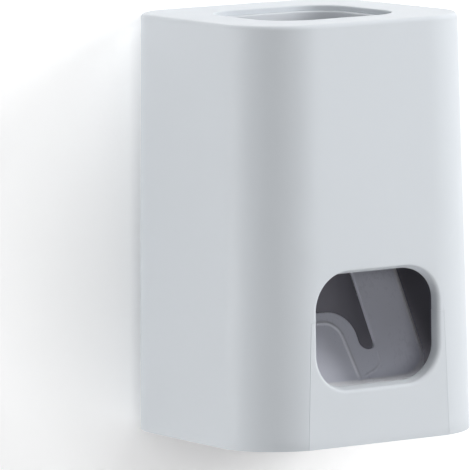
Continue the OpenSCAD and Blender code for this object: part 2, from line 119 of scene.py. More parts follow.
class Shader:
    """The nodes of a material or a world under construction."""

    def __init__(self, owner: bpy.types.Material | bpy.types.World) -> None:
        """Empties the owner's nodes and adds an output.

        Args:
            owner: the material or world.
        """
        self.owner = owner
        owner.use_nodes = True
        self.tree = owner.node_tree
        self.tree.nodes.clear()
        world = isinstance(owner, bpy.types.World)
        self.output = self.tree.nodes.new("ShaderNodeOutputWorld" if world
                                          else "ShaderNodeOutputMaterial")

    @cached_property
    def place(self) -> Signal:
        """Object coordinates."""
        return self.node("ShaderNodeTexCoord", {}, {}, "Object")

    def node(self, kind: str, settings: dict[str, Any], inputs: dict[Any, Any],
             output: Any = 0) -> Signal:
        """Adds any node.

        Args:
            kind: the node's type.
            settings: its properties, set first.
            inputs: values or signals for its sockets, by name or index.
            output: the socket whose value comes back.

        Returns:
            That socket as a signal.
        """
        made = self.tree.nodes.new(kind)
        for key, value in settings.items():
            setattr(made, key, value)
        for key, value in inputs.items():
            if isinstance(value, Signal):
                self.tree.links.new(value.socket, made.inputs[key])
            else:
                made.inputs[key].default_value = value
        return Signal(self, made.outputs[output])

    def noise(self, per_metre: float, detail: float = 3.0, stretch: Triple = (1, 1, 1)) -> Signal:
        """Noise on Object coordinates.

        Args:
            per_metre: how many blobs fit in a metre.
            detail: octaves of finer noise.
            stretch: scale of the pattern along x, y and z.

        Returns:
            A value around one half.
        """
        spot = self.node("ShaderNodeMapping", {}, {"Vector": self.place, "Scale": stretch})
        return self.node("ShaderNodeTexNoise", {},
                         {"Vector": spot, "Scale": per_metre, "Detail": detail}, "Fac")

    def blend(self, share: Signal, first: Sequence[float], second: Sequence[float]) -> Signal:
        """Mixes two colours by a signal."""
        return self.node("ShaderNodeMix", {"data_type": "RGBA"},
                         {0: share, 6: (*first, 1.0), 7: (*second, 1.0)}, 2)

    def bump(self, height: Signal, depth: float) -> Signal:
        """Turns a height signal, times a depth in metres, into a normal."""
        return self.node("ShaderNodeBump", {},
                         {"Height": height, "Distance": depth, "Strength": 1.0})

    def clamp(self, value: Signal, low: float, high: float) -> Signal:
        """Keeps a signal between two numbers."""
        return self.node("ShaderNodeClamp", {}, {"Value": value, "Min": low, "Max": high})

    def rays(self, *kinds: str) -> Signal:
        """One for rays of any of the kinds, which are named as the Light Path node's outputs."""
        return reduce(Signal.larger, [self.node("ShaderNodeLightPath", {}, {}, k) for k in kinds])

    def surface(self, colour: Signal, roughness: Any, normal: Signal, **constants: Any) -> Signal:
        """Adds the Principled shader.

        Args:
            colour: base colour.
            roughness: signal or number.
            normal: signal from a Bump node.
            constants: other sockets, by name with _ for a space.

        Returns:
            The shader.
        """
        named = {key.replace("_", " "): value for key, value in constants.items()}
        return self.node("ShaderNodeBsdfPrincipled", {}, {"Base Color": colour, "Normal": normal,
                                                          "Roughness": roughness, **named})

    def show(self, shader: Signal) -> Any:
        """Links the last shader to the output and gives back the material or world."""
        self.tree.links.new(shader.socket, self.output.inputs["Surface"])
        return self.owner


def linear(red: float, green: float, blue: float) -> Triple:
    """Linear colour from an 8-bit sRGB one; the sRGB curve is a power of 2.4 above its toe.

    Args:
        red: from 0 to 255.
        green: from 0 to 255.
        blue: from 0 to 255.

    Returns:
        The three parts, from 0 to 1.
    """
    values = np.array([red, green, blue]) / 255.0
    bent = np.where(values <= 0.04045, values / 12.92, ((values + 0.055) / 1.055) ** 2.4)
    return tuple(float(v) for v in bent)


def shade(colour: Sequence[float], factor: float) -> list[float]:
    """A colour made darker or paler by a factor, up to white."""
    return [min(1.0, c * factor) for c in colour]


# Finishes

@dataclass(frozen=True)
class Recipe:
    """A material's name and its colour in 8-bit sRGB."""

    name: str
    colour: Triple

    def start(self) -> tuple[Shader, Triple]:
        """Makes the empty material and gives its linear colour."""
        return Shader(bpy.data.materials.new(self.name)), linear(*self.colour)


@dataclass(frozen=True)
class Moulding(Recipe):
    """A moulded plastic: fine spark texture, slow colour drift and handled, uneven gloss."""

    drift: float = 0.03
    roughness: float = 0.42
    uneven: float = 0.10
    grain_size: float = 0.35
    grain_depth: float = 0.006
    wave_size: float = 25.0
    wave_depth: float = 0.02
    streak_depth: float = 0.0
    shine: float = 0.5

    def build(self) -> bpy.types.Material:
        """Makes the material.

        The base colour drifts between two shades. Grain, slow waves and upright flow streaks, which
        are noise drawn out along Z, add up to one bump.

        Returns:
            The material.
        """
        s, base = self.start()
        slow = s.noise(1000 / self.wave_size, 2.0)
        fine = s.noise(1000 / self.grain_size, 2.0)
        smudge = s.noise(1000 / (self.wave_size * 0.6), 5.0, (1.0, 1.0, 0.6))
        colour = s.blend(slow * 0.7 + fine * 0.3, shade(base, 1 - self.drift),
                         shade(base, 1 + self.drift))
        rough = self.roughness + (smudge - 0.5) * (2 * self.uneven) + (fine - 0.5) * 0.06
        height = fine * self.grain_depth + slow * self.wave_depth
        if self.streak_depth:
            height = height + s.noise(900.0, 2.0, (1.0, 1.0, 0.02)) * self.streak_depth
        return s.show(s.surface(colour, rough, s.bump(height, MM), Specular_IOR_Level=self.shine))


@dataclass(frozen=True)
class SmokedPlastic(Recipe):
    """Glossy, slightly clear plastic, with a painted highlight that pales its edges and ridges."""

    highlight_colour: Triple
    roughness: float = 0.26

    def build(self) -> bpy.types.Material:
        """Makes the material.

        The mesh's "edge" attribute, one on edges and ridges, blends toward a pale colour as a
        painted highlight. Slow ripples and fine scuffs move the gloss and the normal.

        Returns:
            The material.
        """
        s, base = self.start()
        edge = s.node("ShaderNodeAttribute", {"attribute_name": "edge"}, {}, "Fac")
        cloud = s.noise(90.0, 3.0)
        ripple = s.noise(160.0, 2.0)
        scuff = s.noise(1100.0, 5.0, (1.0, 1.0, 0.35))
        # painted highlight: the edge attribute pales the colour on the lever's edges and bead
        # crests
        colour = s.blend(edge * 0.96 + cloud * 0.08 - 0.03, base, linear(*self.highlight_colour))
        rough = self.roughness + (scuff - 0.5) * 0.12 + cloud * 0.06
        return s.show(s.surface(colour, rough, s.bump(ripple * 0.05 + scuff * 0.004, MM),
                                Coat_Weight=0.15, Coat_Roughness=0.15))


@dataclass(frozen=True)
class Silicone(Recipe):
    """Soft milky silicone with a satin skin and dust."""

    def build(self) -> bpy.types.Material:
        """Makes the material; dust lightens and roughens the skin in small patches.

        Returns:
            The material.
        """
        s, base = self.start()
        dust = s.noise(900.0, 6.0)
        skin = s.noise(4200.0, 2.0)
        colour = s.blend(dust, shade(base, 0.94), shade(base, 1.05))
        return s.show(s.surface(colour, 0.42 + dust * 0.25, s.bump(skin, 0.006 * MM),
                                Subsurface_Weight=0.25, Subsurface_Scale=0.002))


@dataclass(frozen=True)
class Steel(Recipe):
    """Bright drawn steel with fine lines along X and a little tarnish."""

    lines: Triple = (0.05, 1.0, 1.0)

    def build(self) -> bpy.types.Material:
        """Makes the material; stretched noise gives the drawing lines, slow noise the tarnish.

        Returns:
            The material.
        """
        s, base = self.start()
        drawn = s.noise(6000.0, 3.0, self.lines)
        tarnish = s.noise(350.0, 4.0)
        colour = s.blend(tarnish, shade(base, 0.82), base)
        return s.show(s.surface(colour, 0.16 + drawn * 0.16 + tarnish * 0.08,
                                s.bump(drawn, 0.003 * MM), Metallic=1.0))


@dataclass(frozen=True)
class Foam(Recipe):
    """Closed-cell foam tape or rubber with open cells on its cut edges."""

    cell: float = 0.5
    depth: float = 0.08

    def build(self) -> bpy.types.Material:
        """Makes the material.

        The distance to the nearest cell centre is the height, and a cell's middle, low in its
        hollow, is darker as painted shade.

        Returns:
            The material.
        """
        s, base = self.start()
        cells = s.node("ShaderNodeTexVoronoi", {}, {"Vector": s.place, "Scale": 1000 / self.cell},
                       "Distance")
        # painted shade in each cell's hollow, paler on its rim
        colour = s.blend(cells, shade(base, 0.75), shade(base, 1.1))
        return s.show(s.surface(colour, 0.75 + s.noise(500.0) * 0.2,
                                s.bump(cells, self.depth * MM)))


class Finish(Enum):
    """The finishes of the object, each with its recipe."""

    COVER = Moulding("cover_satin", (224, 229, 234), drift=0.012, roughness=0.46,
                     grain_depth=0.004, wave_size=32.0, wave_depth=0.03, streak_depth=0.0025,
                     shine=0.25)
    # painted shade: the cover's inner faces are charcoal to stand for the shade inside it
    PAINTED_SHADE = Moulding("painted_shade_lining", (118, 117, 126), roughness=0.6, uneven=0.08)
    INNER = Moulding("guide_satin", (222, 226, 231), drift=0.02, roughness=0.45)
    FRAME = Moulding("charcoal_moulding", (84, 84, 93), drift=0.06, roughness=0.5,
                     grain_depth=0.008)
    LEVER = SmokedPlastic("smoked_lever", (230, 232, 244), (252, 252, 254))
    SILICONE = Silicone("milky_silicone", (205, 208, 214))
    STEEL = Steel("drawn_steel", (196, 198, 203))
    PAD = Foam("foam_tape", (202, 205, 208))
    BUMPER = Foam("bumper_rubber", (48, 48, 51), cell=0.25, depth=0.03)


class Paints:
    """Builds each finish once."""

    def __init__(self) -> None:
        """Starts with none built."""
        self._made: dict[Finish, bpy.types.Material] = {}

    def get(self, finish: Finish) -> bpy.types.Material:
        """The finish's material.

        Args:
            finish: which one.

        Returns:
            The material, built at its first use.
        """
        if finish not in self._made:
            self._made[finish] = finish.value.build()
        return self._made[finish]


PAINTS = Paints()


# Points and curves

def joined(*runs: Any) -> Array:
    """Numbers or points of several runs, one run after another."""
    return np.concatenate(runs)


def stacked(*coordinates: Any) -> Array:
    """Points from their coordinates, each an array or one number."""
    return np.stack(np.broadcast_arrays(*coordinates), axis=-1)


def lifted(flat: Array, z: Any) -> Array:
    """Flat points taken to heights."""
    return stacked(flat[..., 0], flat[..., 1], z)


def between(first: Any, second: Any, share: Any) -> Any:
    """The value at a share of the way from the first to the second."""
    return first + (second - first) * share


def ease(share: Array) -> Array:
    """Smooth step from 0 to 1, level at both ends."""
    return share * share * (3 - 2 * share)


def ramp(value: Any, start: float, length: float) -> Array:
    """Share from 0 to 1 that a value has come along a length from its start."""
    return np.clip((value - start) / length, 0, 1)


def unit(vectors: Array) -> Array:
    """Vectors scaled to length one."""
    return vectors / np.maximum(np.linalg.norm(vectors, axis=-1, keepdims=True), 1e-9)


def circle(angle: Array) -> Array:
    """Points of the unit circle."""
    return stacked(np.cos(angle), np.sin(angle))


def around(steps: int) -> Array:
    """Even angles of a full turn."""
    return np.linspace(0, 2 * math.pi, steps, endpoint=False)


def mirrored(half: Array) -> Array:
    """A half outline that ends on the middle line, then its mirror image back to its start."""
    return joined(half, half[-2::-1] * MIRROR[:2])


def box(a: float, b: float, radius: float) -> list[Triple]:
    """Corners of a rounded rectangle from its half sizes."""
    return [(a, -b, radius), (a, b, radius), (-a, b, radius), (-a, -b, radius)]


def quarter(radius: float, steps: int) -> tuple[Array, Array]:
    """Quarter round from a face (offset = radius, depth 0) to a wall (offset 0, depth = radius)."""
    a = np.linspace(0, math.pi / 2, steps + 1)
    return radius * (1 - np.sin(a)), radius * (1 - np.cos(a))


def fillet(before: Array, corner: Array, after: Array, radius: Array) -> tuple[Array, ...]:
    """Arc that rounds a corner.

    It touches both legs at radius / tan(half angle) from the corner, and its centre lies on the sum
    of the legs' unit vectors at radius / sin(half angle).

    Args:
        before: a point on the first leg.
        corner: where the legs meet.
        after: a point on the second leg.
        radius: the arc's radius.

    Returns:
        The arc's centre, the angle of its first point and the angle that it turns by.
    """
    u, v = unit(before - corner), unit(after - corner)
    half = np.arccos(np.clip((u * v).sum(-1), -1, 1)) / 2
    centre = corner + unit(u + v) * (radius / np.sin(half))[..., None]
    first = corner + u * (radius / np.tan(half))[..., None] - centre
    turn = np.sign(u[..., 1] * v[..., 0] - u[..., 0] * v[..., 1])
    return centre, np.arctan2(first[..., 1], first[..., 0]), turn * (math.pi - 2 * half)


def rounded(points: Sequence[Triple], closed: bool = True, steps: int = 10,
            spacing: float = 3.0) -> tuple[Array, Array]:
    """Outline with round corners and even points on its straight runs.

    Args:
        points: corners as (across, up, radius), with the material on the left.
        closed: whether the last corner joins the first.
        steps: segments in each arc.
        spacing: longest straight segment.

    Returns:
        Points and unit normals to the left, each a count by 2.
    """
    corners, radii = np.array(points, float)[:, :2], np.array(points, float)[:, 2]
    after = np.roll(corners, -1, axis=0)
    centre, first, sweep = fillet(np.roll(corners, 1, axis=0), corners, after, radii)
    ray = circle(first[:, None] + sweep[:, None] * np.linspace(0, 1, steps + 1))
    arcs = centre[:, None] + radii[:, None, None] * ray
    normals = -ray * np.sign(sweep)[:, None, None]
    ahead = unit(after - corners)
    if not closed:
        ahead[-1] = ahead[-2]
    left = stacked(-ahead[:, 1], ahead[:, 0])
    line: list[Array] = []
    facing: list[Array] = []
    count = len(corners)
    for i in range(count):
        inner = closed or 0 < i < count - 1
        line.append(arcs[i] if inner else corners[i:i + 1])
        facing.append(normals[i] if inner else left[i:i + 1])
        if closed or i < count - 1:
            j = (i + 1) % count
            a = line[-1][-1]
            b = arcs[j][0] if closed or j < count - 1 else corners[j]
            number = max(1, int(np.ceil(np.linalg.norm(b - a) / spacing)))
            share = np.linspace(0, 1, number + 1)[1:-1, None]
            line.append(between(a, b, share))
            facing.append(np.repeat(left[i:i + 1], len(share), axis=0))
    return np.concatenate(line), np.concatenate(facing)


def turned(profile: Sequence[Sequence[float]], steps: int = 64) -> Array:
    """Surface of revolution.

    Args:
        profile: (radius, along) points of its section.
        steps: segments round the axis.

    Returns:
        Grid of (cos, sin) times the radius and the place along the axis, as x, y, z.
    """
    section, ray = np.array(profile, float), circle(around(steps))
    return lifted(section[:, :1, None] * ray, section[:, 1:])


def soft_profile(corners: Sequence[Triple]) -> Array:
    """Closed section with rounded corners, as (radius, along) points."""
    return rounded(corners, steps=4, spacing=50.0)[0]


class Skin:
    """Collects grids and caps of points, in millimetres, and welds them into one mesh."""

    def __init__(self, node: str, make: str) -> None:
        """Starts an empty skin.

        Args:
            node: the CAD node that it replaces.
            make: a word for how it is made, which ends its own name.
        """
        self.node = node
        self.name = f"{node}_{make}"
        self._points: list[Array] = []
        self._faces: list[list[int]] = []
        self._finish: list[int] = []
        self._painted_highlight: list[Array] = []
        self._count = 0

    def _take(self, points: Array, edge: Any = 0.0) -> Array:
        """Stores points with their painted highlight values.

        Args:
            points: any shape of xyz.
            edge: how much painted highlight each point gets.

        Returns:
            The points' indices, shaped as the points are.
        """
        flat = points.reshape(-1, 3)
        index = np.arange(len(flat)).reshape(points.shape[:-1]) + self._count
        self._points.append(flat)
        self._painted_highlight.append(np.broadcast_to(edge, points.shape[:-1]).reshape(-1))
        self._count += len(flat)
        return index

    def grid(self, points: Array, finish: Any = 0, keep: Array | None = None,
             close_rows: bool = False, close_columns: bool = False, edge: Any = 0.0) -> None:
        """Adds a grid of quads.

        Args:
            points: rows by columns by xyz.
            finish: material index, or one for each row of quads.
            keep: rows by columns of quads that stay.
            close_rows: joins the last row to the first.
            close_columns: joins the last column to the first.
            edge: how much painted highlight each point gets, from 0 to 1.
        """
        index = self._take(points, edge)
        if close_rows:
            index = np.vstack([index, index[:1]])
        if close_columns:
            index = np.hstack([index, index[:, :1]])
        quads = np.stack([index[:-1, :-1], index[:-1, 1:], index[1:, 1:], index[1:, :-1]], axis=-1)
        slots = np.broadcast_to(np.asarray(finish).reshape(-1, 1), quads.shape[:2])
        if keep is not None:
            quads, slots = quads[keep], slots[keep]
        self._faces += quads.reshape(-1, 4).tolist()
        self._finish += slots.reshape(-1).tolist()

    def cap(self, points: Array) -> None:
        """Adds one flat face through the points."""
        self._faces.append(self._take(points).tolist())
        self._finish.append(0)

    def ring(self, points: Array) -> None:
        """Adds a grid that closes both ways."""
        self.grid(points, close_rows=True, close_columns=True)

    def rod(self, points: Array, across: bool = False, edge: Any = 0.0) -> None:
        """Adds a closed tube with a cap over each end.

        Args:
            points: rows by columns by xyz.
            across: whether the columns, instead of the rows, run round the tube.
            edge: how much painted highlight each point gets.
        """
        self.grid(points, close_rows=across, close_columns=not across, edge=edge)
        for end in (0, -1):
            self.cap(points[:, end] if across else points[end])

    def build(self, finishes: Sequence[Finish], body: str, slot: str) -> bpy.types.Object:
        """Welds the skin, turns its faces outward and lets it ride on a body.

        Args:
            finishes: materials by index.
            body: the CAD body that it moves with.
            slot: the record's material slot; not used.

        Returns:
            The finished object.
        """
        points = (np.concatenate(self._points) - np.array([0.0, 0.0, ORIGIN_Z])) * MM
        mesh = bpy.data.meshes.new(self.name)
        mesh.from_pydata(points.tolist(), [], self._faces)
        mesh.polygons.foreach_set("material_index", np.array(self._finish, np.int32))
        # the "edge" attribute holds the painted highlight that the lever's finish reads
        highlight_attribute = mesh.attributes.new("edge", "FLOAT", "POINT")
        highlight_attribute.data.foreach_set("value", np.concatenate(self._painted_highlight).astype(np.float32))
        work = bmesh.new()
        work.from_mesh(mesh)
        bmesh.ops.remove_doubles(work, verts=work.verts, dist=2e-6)
        bmesh.ops.dissolve_degenerate(work, edges=work.edges, dist=1e-6)
        bmesh.ops.recalc_face_normals(work, faces=work.faces)
        open_edges = sum(1 for e in work.edges if len(e.link_faces) != 2)
        work.to_mesh(mesh)
        work.free()
        mesh.polygons.foreach_set("use_smooth", np.ones(len(mesh.polygons), bool))
        mesh.set_sharp_from_angle(angle=math.radians(CREASE))
        for finish in finishes:
            mesh.materials.append(PAINTS.get(finish))
        made = bpy.data.objects.new(self.name, mesh)
        bpy.context.scene.collection.objects.link(made)
        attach(made, body)
        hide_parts(self.node)
        LOG.info("%s: %d faces, %d open edges", self.name, len(mesh.polygons), open_edges)
        return made


# The cover

@dataclass
class Cover:
    """The tapered cover with its round corners, tube opening, brush window and rear slot.

    The front is a patch 60 mm wide: below seam_z its two strips stand beside the insert, and above
    that it surrounds the window up to patch_top.
    """

    height: float = 120.0
    depth: float = 75.0
    width: float = 82.0
    taper: float = 5.0
    rear_in: float = 3.0
    front_radius: float = 19.5
    rear_radius: float = 16.0
    wall: float = 2.2
    top: float = 1.6
    top_round: float = 1.2
    wall_gap: float = 0.4
    bottom_round: float = 0.35
    hole_w: float = 44.0
    hole_d: float = 42.0
    hole_r: float = 12.0
    hole_y: float = -39.0
    hole_round: float = 0.45
    slot_half: float = 19.7
    slot_top: float = 101.3
    rows_below_slot: tuple[float, float] = (74.0, 88.0)
    row_above_slot: float = 110.0
    window_half: float = 20.75
    window_low: float = 16.15
    window_high: float = 49.8
    window_r: float = 10.6
    window_round: float = 1.2
    window_top_round: float = 0.5
    rim_depth: float = 4.0
    rim: float = 1.7
    rim_round: float = 0.3
    rim_draft: float = 0.2
    lean_top: float = 1.2
    lean_low: float = 0.85
    seam_low: float = 24.15
    seam_high: float = 22.85
    seam_z: float = 36.05
    seam_round: float = 0.10
    seam_fade: float = 14.0
    patch_half: float = 30.0
    patch_top: float = 60.0
    patch_inner: float = 14.0

    def _corners(self, z: Array, inset: Array) -> tuple[tuple[Array, ...], tuple[Array, ...]]:
        """Right-hand front and rear corner arcs at heights and insets, as fillet gives them.

        Args:
            z: heights.
            inset: how far inside the outer face each height's points lie.

        Returns:
            The front arc and the rear arc.
        """
        half = (self.width - self.taper * z / self.height) / 2 - inset
        rear_half = half - self.rear_in / 2
        front, rear = -self.depth + inset, -self.wall_gap - inset
        a, p = stacked(-half, front), stacked(half, front)
        q, b = stacked(rear_half, rear), stacked(-rear_half, rear)
        return fillet(a, p, q, self.front_radius - inset), fillet(p, q, b, self.rear_radius - inset)

    def front(self, x: Any, z: Any, inset: Any = 0.0, deeper: Any = 0.0) -> Array:
        """Points on the front, which is flat between the corner arcs and follows their circles.

        Args:
            x: places across.
            z: heights.
            inset: how far inside the outer face the surface lies.
            deeper: how far the points are set back from it.

        Returns:
            The points.
        """
        x, z, inset = np.broadcast_arrays(np.asarray(x, float), z, np.asarray(inset, float))
        centre = self._corners(z, inset)[0][0]
        reach = np.clip(np.abs(x) - centre[..., 0], 0, None)
        y = centre[..., 1] - np.sqrt((self.front_radius - inset) ** 2 - reach ** 2)
        return stacked(x, y + deeper, z)

    def _side(self, z: Array, inset: Array) -> Array:
        """Right-hand wall from the front patch's edge to the rear slot: arc, line, arc, line.

        Args:
            z: heights.
            inset: how far inside the outer face each height's points lie.

        Returns:
            Heights by points by (x, y).
        """
        (fc, first, sweep_1), (rc, second, sweep_2) = self._corners(z, inset)
        fr, rr = self.front_radius - inset, self.rear_radius - inset
        start = -np.arccos((self.patch_half - fc[:, 0]) / fr)
        share = np.linspace(0, 1, 17)
        angle_1 = between(start[:, None], (first + sweep_1)[:, None], share)
        angle_2 = second[:, None] + sweep_2[:, None] * share
        arc_1 = fc[:, None] + fr[:, None, None] * circle(angle_1)
        arc_2 = rc[:, None] + rr[:, None, None] * circle(angle_2)
        step = np.array([0.03, 0.25, 0.5, 0.75, 0.97])[:, None]
        line = between(arc_1[:, -1:], arc_2[:, :1], step)
        end = stacked(self.slot_half, -self.wall_gap - inset)[:, None]
        return np.concatenate([arc_1, line, arc_2, end], axis=1)

    def _around(self, z: Array, inset: Array) -> Array:
        """Wall from the front patch's right edge round the rear to its left edge.

        Args:
            z: heights.
            inset: how far inside the outer face each height's points lie.

        Returns:
            Heights by points by xyz.
        """
        right = self._side(z, inset)
        x = np.linspace(self.slot_half, -self.slot_half, 7)[1:-1]
        middle = stacked(x, (-self.wall_gap - inset)[:, None])
        flat = np.concatenate([right, middle, right[:, ::-1] * MIRROR[:2]], axis=1)
        return lifted(flat, z[:, None])

    @property
    def _slot_columns(self) -> slice:
        """Quad columns that lie in the rear slot."""
        start = self._side(np.array([0.0]), np.array([0.0])).shape[1] - 1
        return slice(start, start + 6)

    @property
    def _levels(self) -> tuple[Array, Array, Array]:
        """Heights of the wall's rows beside the insert, beside the window and above the patch.

        Returns:
            The three runs of heights, upward.
        """
        low = joined([self.bottom_round], np.linspace(0, self.seam_z, 10)[1:])
        high = np.linspace(self.seam_z, self.patch_top, 15)[1:]
        return low, high, np.array([self.patch_top, *self.rows_below_slot, self.slot_top,
                                    self.row_above_slot, self.height - self.top_round - 0.3])

    def window_edge(self, start: float, end: float, steps: int) -> tuple[Array, Array]:
        """Right half of the window's outline: its side, a corner and half its top or bottom.

        Args:
            start: height on the side where it starts.
            end: height of the window's top or bottom.
            steps: segments along the side.

        Returns:
            Points and outward normals.
        """
        way = math.copysign(1.0, end - start)
        x, z = self.window_half - self.window_r, end - way * self.window_r
        arc = circle(np.linspace(0, way * math.pi / 2, 25))
        line = joined(stacked(self.window_half, np.linspace(start, z, steps + 1)[:-1]),
                      np.array([x, z]) + self.window_r * arc,
                      stacked(np.linspace(x, 0, 5)[1:], end))
        return line, joined([[1.0, 0.0]] * steps, arc, [[0.0, way]] * 4)

    def edge_rows(self, up: Array) -> tuple[Array, Array]:
        """Offsets and depths of the window's edge, with a column for each point of its outline.

        A quarter round, smaller at the top, leads to the reveal, which leans into the opening at
        the top and bottom. Then come the rounded rim end and the way back to the wall.

        Args:
            up: how far the outline's outward normal points up, from -1 to 1.

        Returns:
            The offsets and the depths.
        """
        radius = between(self.window_round, self.window_top_round, np.clip(up, 0, 1))
        lean, still = np.where(up > 0, self.lean_top, self.lean_low) * up ** 2, 0 * up
        offset, depth = (v[:, None] * radius for v in quarter(1.0, 7))
        inner = self.rim_round * np.array([0.0, CORNER, 1.0])[:, None]
        offsets = joined(offset, (self.rim_draft - lean)[None] * 0.5, self.rim_draft + inner - lean,
                         self.rim - inner[::-1] - lean, (self.rim + still)[None])
        depths = joined(depth, (self.rim_depth * 0.6 + still)[None],
                        self.rim_depth - inner[::-1] + still, self.rim_depth - inner + still,
                        (self.wall + 0.1 + still)[None])
        return offsets, depths

    def _seam_columns(self) -> Array:
        """Shares of the way from the seam to the patch's edge, dense beside the seam."""
        reach = self.patch_half - self.seam_high
        return np.array([0.0, 0.03, 0.06, self.seam_round, 0.4, 1.2, 2.6, 4.6, reach]) / reach

    def build(self) -> None:
        """Builds the cover: walls, window patch, top and rear slot, with inner faces painted
        charcoal as painted shade.
        """
        skin = Skin("cover_shell", "smooth")
        br, wall = self.bottom_round, self.wall
        low, high, _ = self._levels
        edge_z = br * np.array([CORNER, 0.0, 0.0, CORNER])
        edge_in = np.array([br * CORNER, br, wall - br, wall - br * CORNER])

        def loop(levels: Array) -> tuple[Array, Array, Array]:
            """Heights, insets and finishes down the outside, round the bottom and up the inside.

            Args:
                levels: heights of the wall's rows, upward.

            Returns:
                The three runs.
            """
            z = joined(levels[::-1], edge_z, levels)
            inset = joined(0 * levels, edge_in, 0 * levels + wall)
            return z, inset, np.where(np.arange(len(z) - 1) < len(levels) + 3, 0, 1)

        z, inset, finish = loop(joined(low, high))
        ring = self._around(z, inset)
        keep = np.ones((ring.shape[0] - 1, ring.shape[1] - 1), bool)
        keep[:, self._slot_columns] = False
        skin.grid(ring, finish, keep)
        z, inset, finish = loop(low)
        share, round_ = self._seam_columns(), self.seam_round
        gap = share * (self.patch_half - self.seam_high)
        dip = round_ - np.sqrt(np.clip(round_ ** 2 - (round_ - gap) ** 2, 0, None))
        dip = np.where(gap < round_, dip, 0.0) * (inset < wall / 2)[:, None]
        dip = dip * ramp(self.seam_z - z, 0, self.seam_fade)[:, None]
        seam = between(self.seam_low, self.seam_high, z / self.seam_z)[:, None]
        side = self.front(between(seam, self.patch_half, share), z[:, None], inset[:, None], dip)
        half = len(z) // 2
        notch = np.stack([side[:half, 0], side[:half - 1:-1, 0]], axis=1)
        for flip in (1.0, MIRROR):
            skin.grid(side * flip, finish)
            skin.grid(notch * flip)
        self._window(skin)
        self._upper(skin)
        # finish 1, on the inner faces, is the charcoal painted shade
        skin.build([Finish.COVER, Finish.PAINTED_SHADE], "cover", "cover_plastic")

    def _window(self, skin: Skin) -> None:
        """Adds the patch round the upper part of the window, with its rim and its two end faces.

        The outline's points are matched to points on the patch's edge: up its right side while the
        corner's first half lasts, then along its top, and the same on the left.

        Args:
            skin: where it goes.
        """
        line, normal = self.window_edge(self.seam_z, self.window_high, 2)
        over = joined(np.linspace(self.patch_half, self.patch_inner, 13)[1:],
                      np.linspace(self.patch_inner, 0, 5)[1:])
        target = joined(stacked(self.patch_half, [self.seam_z, *self._levels[1]]),
                        stacked(over, self.patch_top))
        line, normal, target = mirrored(line), mirrored(normal), mirrored(target)
        start = line + normal * (self.seam_high - self.window_half)
        outer = between(start, target, self._seam_columns()[::-1, None, None])
        near = (line + normal * (self.window_round + 0.2))[None]
        offsets, depths = self.edge_rows(normal[:, 1])
        edge = line + normal * offsets[..., None]
        front = joined(self.front(outer[..., 0], outer[..., 1]),
                       self.front(near[..., 0], near[..., 1]),
                       self.front(edge[..., 0], edge[..., 1], 0.0, depths))
        rows = joined(front, self.front(outer[::-1, :, 0], outer[::-1, :, 1], self.wall))
        skin.grid(rows, np.where(np.arange(len(rows) - 1) < len(front) - 1, 0, 1))
        for flip in (1.0, MIRROR):
            skin.cap(rows[len(outer) - 1:len(front) + 1, 0] * flip)

    def _hole(self, angle: Array, grow: float) -> Array:
        """Tube opening, grown outward.

        It lies where a ray at each angle meets a side, or else a corner's circle.

        Args:
            angle: directions from its middle.
            grow: how far outward.

        Returns:
            Flat points.
        """
        a, b, r = self.hole_w / 2 + grow, self.hole_d / 2 + grow, self.hole_r + grow
        c, s = np.abs(np.cos(angle)), np.abs(np.sin(angle))
        to_side, to_end = a / np.maximum(c, 1e-9), b / np.maximum(s, 1e-9)
        dot = c * (a - r) + s * (b - r)
        to_arc = dot + np.sqrt(np.maximum(dot ** 2 - (a - r) ** 2 - (b - r) ** 2 + r ** 2, 0))
        t = np.where(to_side * s <= b - r, to_side, np.where(to_end * c <= a - r, to_end, to_arc))
        return stacked(t * np.cos(angle), self.hole_y + t * np.sin(angle))

    def _upper(self, skin: Skin) -> None:
        """Adds the walls above the window patch, the rounded top edge, the top and its opening.

        Args:
            skin: where they go.
        """
        low, high, levels = self._levels
        inward, drop = quarter(self.top_round, 6)
        ceiling = self.height - self.top
        side = np.linspace(self.patch_inner, self.patch_half, 13)
        middle = np.linspace(-self.patch_inner, self.patch_inner, 9)
        x = joined(-side[::-1], middle[1:-1], side)[1:-1]

        def full(z: Array, inset: Array) -> Array:
            """Closed ring of points at each height."""
            return np.concatenate([self._around(z, inset),
                                   self.front(x, z[:, None], inset[:, None])], axis=1)

        outer = full(joined(levels, self.height - inward), joined(0 * levels, drop))
        inner = full(joined(levels[:-1], [ceiling]), np.full(len(levels), self.wall))
        for ring, finish in ((outer, 0), (inner, 1)):
            keep = np.ones((ring.shape[0] - 1, ring.shape[1]), bool)
            keep[:3, self._slot_columns] = False
            skin.grid(ring, finish, keep, close_columns=True)
        spot = self._slot_columns
        z = joined([0.0, self.bottom_round * CORNER], low, high, levels[1:4])
        out = joined([self.bottom_round, self.bottom_round * CORNER], np.zeros(len(z) - 2))
        sides = np.stack([self._around(z, inset)[:, spot.start]
                          for inset in (out, self.wall - out)], axis=1)
        for flip in (1.0, MIRROR):
            skin.grid(sides * flip)
        skin.grid(np.stack([ring[3, spot.start:spot.stop + 1] for ring in (outer, inner)]))
        above, below = outer[-1, :, :2], inner[-1, :, :2]
        angle = np.arctan2(above[:, 1] - self.hole_y, above[:, 0])
        shares = np.array([0.0, 0.04, 0.3, 0.65, 1.0])[:, None, None]
        flat = between(above, self._hole(angle, self.hole_round + 0.25), shares)
        rows = [lifted(points, self.height) for points in flat]
        rows += [lifted(self._hole(angle, o), self.height - d)
                 for o, d in zip(*quarter(self.hole_round, 5))]
        rows += [lifted(self._hole(angle, 0.0), ceiling + 0.1),
                 lifted(self._hole(angle, 0.1), ceiling)]
        beneath = between(below, self._hole(angle, 0.1), shares[-2::-1])
        skin.grid(joined(rows, lifted(beneath, ceiling)),
                  [0] * (len(rows) - 1) + [1] * len(beneath), close_columns=True)


